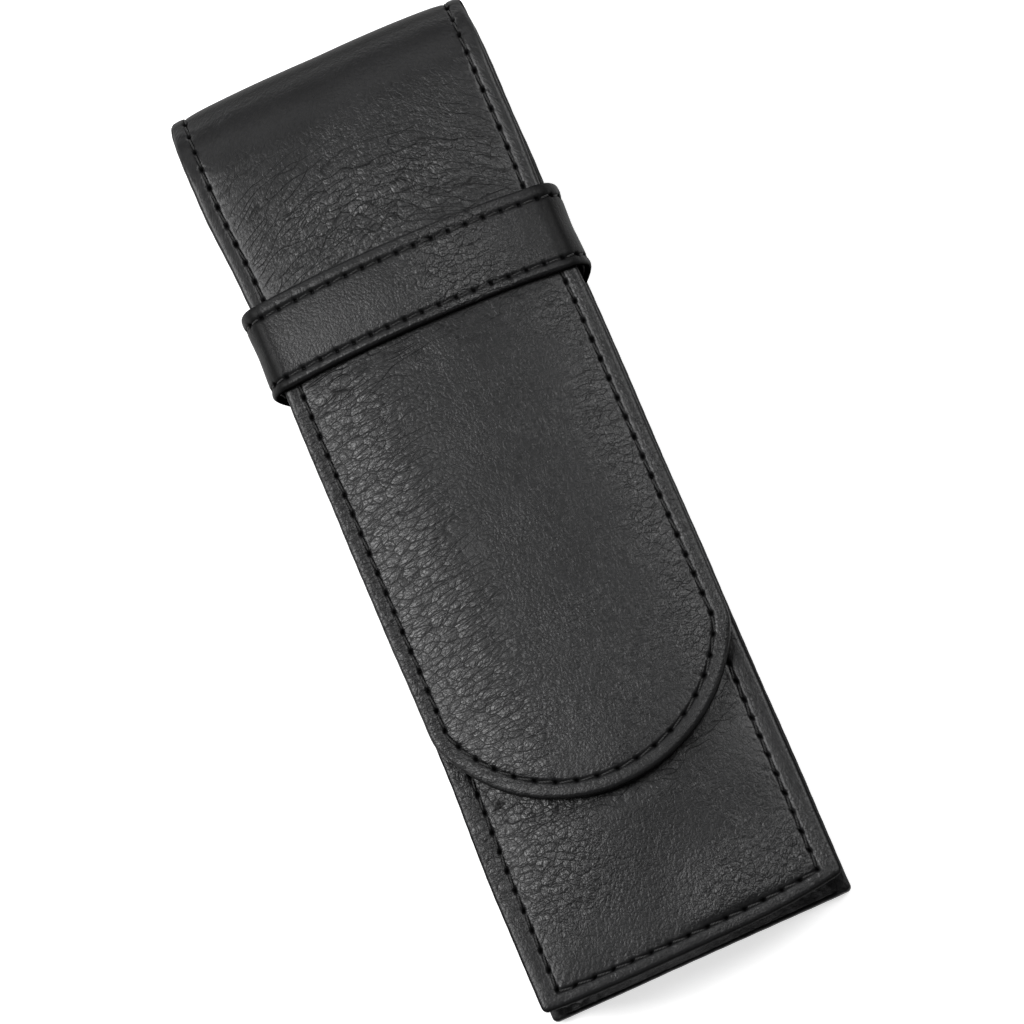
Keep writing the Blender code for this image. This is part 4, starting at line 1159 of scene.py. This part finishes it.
def makeWall(name, section, material, step):
    # section is a closed list of (inset, height)
    g, panel = gusset, Panel(gussetSides, *seams["gusset"])
    counts = panel.counts(step)
    loops = np.array([panel.loop(inset, counts) for inset, height in section])
    height = np.array([h for inset, h in section])[:, None] + 0 * loops[..., 0]
    at = panel.seamPlaces(counts)[0][None] + 0 * height
    middle = np.sin(math.pi * np.clip((height - g["low"]) / (g["high"] - g["low"]), 0, 1))
    corners = at[0, counts[0]], at[0, counts[0] + counts[1]]
    fromCorner = np.minimum(np.abs(at - corners[0]), np.abs(at - corners[1]))
    folds = g["pucker"] * (0.25 + bell(fromCorner / 8)) * creases(at / 1.9, height / 11, 89, 0.3)
    folds = folds + g["crumple"] * bell(fromCorner / 7) * creases(at / 1.2, height / 4 + at / 3, 91, 0.25)
    # across the foot's right half the wall is sunk under the front's edge
    sunk = g["sunk"] * rises(loops[..., 0], -2, 14) * (loops[..., 1] < bottomEnd + 3)
    give = (folds + g["swell"] * layeredNoise(at / 14, height / 9, 97) - sunk) * middle
    loops = loops + panel.outwards(counts)[None] * give[..., None]
    # the foot rides over the strap's ends, which are caught in the seam
    gap = np.abs(loops[..., 1] - strap["middle"]) - strap["width"] / 2
    foot = g["lift"] * falls(gap, 3, 3) * falls(height, g["low"] + 5, 5)
    x, y = loops[..., 0] * squeeze(loops[..., 1]), loops[..., 1]
    co = skewBottom(np.stack([x, y, height + foot], -1).reshape(-1, 3))
    index = np.arange(height.size).reshape(height.shape)
    around = travel(np.array(section))[:, None] + 0 * height
    # it has painted shade in its folds and under the front's edge
    shade = g["topShade"] * rises(height, g["high"] - 2.4, 1.8) + g["foldShade"] * np.maximum(-folds, 0)
    grain = g["grain"] + g["varied"] * layeredNoise(at / 8, height / 8, 101)
    marks = {"coarse": grain, "shade": shade, "lines": g["lines"] + 0 * grain}
    return makePiece(name, co, gridFaces(np.vstack([index, index[:1]])), material,
                     uv=np.stack([at, around], -1).reshape(-1, 2) / 100, marks=marks)


def makeGusset():
    g = gusset
    start, flange, r = g["flangeStart"], g["flange"], g["round"]
    low, high = g["low"] + g["thick"], g["high"] - g["thick"]
    outer = wallSection(g["web"], g["low"] + r, g["high"] - r, 22)
    inner = wallSection(g["web"] + g["thick"], low, high, 10)
    foot = [(g["web"] + r * (1 - math.sin(t)), g["low"] + r * (1 - math.cos(t)))
            for t in np.linspace(0, math.pi / 2, 5)[:-1]]
    head = [(i, g["low"] + g["high"] - h) for i, h in foot[::-1]]
    section = [(flange, g["low"]), (start, g["low"]), *foot, *outer, *head, (start, g["high"]),
               (flange, g["high"]), (flange, high), *inner[::-1], (flange, low)]
    settle(makeWall("gussetLeather", section, gussetLeather, 0.6), "gusset")
    inset, low, high = g["web"] + g["thick"] + g["gap"], low + g["gap"], high - g["gap"]
    section = wallSection(inset, low, high, 12) + wallSection(inset + g["lining"], low, high, 12)[::-1]
    settle(makeWall("gussetLining", section, liningLeather, 1.0), "gusset_lining")


# The divider between the pens, on a foot sewn to the back's lining

divider = dict(thick=1.2, foot=0.6, reach=7.0, low=2.7, high=14.0, start=-74.2, end=54.0, nose=5.0, seam=4.2,
               seamStart=2.7, threadLift=0.35, wave=0.15, pitch=3.3, footStart=3.0, softEdge=0.2, fillet=0.3)


def makeDivider():
    # the section turns over at the free edge, and the free corner at the mouth is cut round
    d = divider
    t, base, top, reach = d["thick"] / 2, d["low"], d["low"] + d["foot"], d["reach"]
    start, soft, fillet = d["footStart"], d["softEdge"], d["fillet"]
    right = [(0, base), (start, base), (reach - soft, base), (reach, base + soft), (reach, top - soft),
             (reach - soft, top), (start, top), (t + fillet, top)]
    right += [(t, z) for z in np.linspace(top + fillet, d["high"] - t, 22)]
    right += [tuple(p) for p in arcPoints((0, d["high"] - t), t, 0, 90, 6)[1:]]
    section = np.vstack([right, np.array(right[1:-1])[::-1] * (-1, 1)])
    straight = np.linspace(d["start"], d["end"] - d["nose"], 90)
    stations = np.r_[straight, np.linspace(d["end"] - d["nose"], d["end"], 14)[1:]]
    over = np.clip((stations - d["end"] + d["nose"]) / d["nose"], 0, 0.995)
    limit = d["high"] - d["nose"] * (1 - np.sqrt(1 - over**2))
    x, z = (section[:, k][None] + 0 * stations[:, None] for k in (0, 1))
    y = stations[:, None] + 0 * x
    room = d["high"] - top
    lift = np.clip((z - top) / room, 0, 1)
    z = np.where(z > top, top + (z - top) * ((limit - top) / room)[:, None], z)
    x = x + d["wave"] * lift * layeredNoise(y / 25, z / 30, 103)
    uv = np.stack([travel(section)[None] + 0 * x, y], -1).reshape(-1, 2) / 100
    settle(makePiece("penDividerLeather", np.stack([x, y, z], -1).reshape(-1, 3), tubeFaces(*x.shape),
                     liningLeather, uv=uv), "pen_divider")

    def layOnFoot(flat):
        return np.stack([flat[:, 0], flat[:, 1], top + d["threadLift"] - flat[:, 2]], 1)
    for name, nodeName, side in (("dividerThreadLeft", "divider_stitching_left", -1),
                                 ("dividerThreadRight", "divider_stitching_right", 1)):
        ends = d["start"] + d["seamStart"], d["end"] - d["seamStart"]
        path = np.array([(side * d["seam"], end) for end in ends])
        settle(makeStitches(name, path, d["pitch"], layOnFoot), nodeName)


# The whole case


def carryBack(piece):
    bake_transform(piece)


def carryFlap(piece):
    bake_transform(piece)


def carryFront(piece):
    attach(piece, "pouch")


def backY(place):
    return bottomEnd + place


def frontY(place):
    return place


def makePanels():
    strip, front = seams["strip"], seams["front"]
    backMiddle, flapMiddle = towardsMiddle(0, split, (21, 0)), towardsMiddle(split, stripEnd, (0, 24))
    frontMiddle = towardsMiddle(bottomEnd, mouth, (20, 20))
    panels = dict(
        back=Panel(backSides, *strip, backMiddle, backY, foldStrip),
        flap=Panel(flapSides, *strip, flapMiddle, flapY, foldStrip, crowned=True),
        front=Panel(frontSides, *front, frontMiddle, frontY, layFront, closed=True, crowned=True))
    carry = dict(back=carryBack, flap=carryFlap, front=carryFront)
    inside, glue = layers["cover"] + layers["glue"], layers["glue"]
    foam = slabRings(inside, inside, rim, step=(layers["hemWidth"] + glue, rim - layers["hem"] - glue))
    lining = slabRings(layers["setback"], rim + glue, panelDepth)
    for name, panel in panels.items():
        pieces = {"cover": makeCover(name + "Leather", panel, panelForms[name]),
                  "padding": makeSlab(name + "Foam", panel, foam, foamSheet),
                  "lining": makeSlab(name + "Lining", panel, lining, liningLeather),
                  "stitching": panelRow(name + "Thread", panel)}
        for layer, piece in pieces.items():
            nodes = [f"{name}_{layer}"]
            if name == "flap" and layer == "stitching":
                nodes += ["top_stitching_left", "top_stitching_right"]
            elif name == "flap":
                nodes += [f"top_{layer}"]
            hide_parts(*nodes)
            carry[name](piece)


makeCamera()
makeLights()
makeFloor()
outerLeather = makeLeather("outerLeather", outerLook, True)
gussetLeather = makeLeather("gussetLeather", gussetLook, True)
liningLeather = makeLeather("liningLeather", liningLook, False)
waxedThread, foamSheet, wovenTape = makeThreadLook(), makeFoamLook(), makeTapeLook()
print("materials made")
makePanels()
print("panels made")
makeGusset()
makeDivider()
print("pocket made")
makeStrap()
print("strap made")
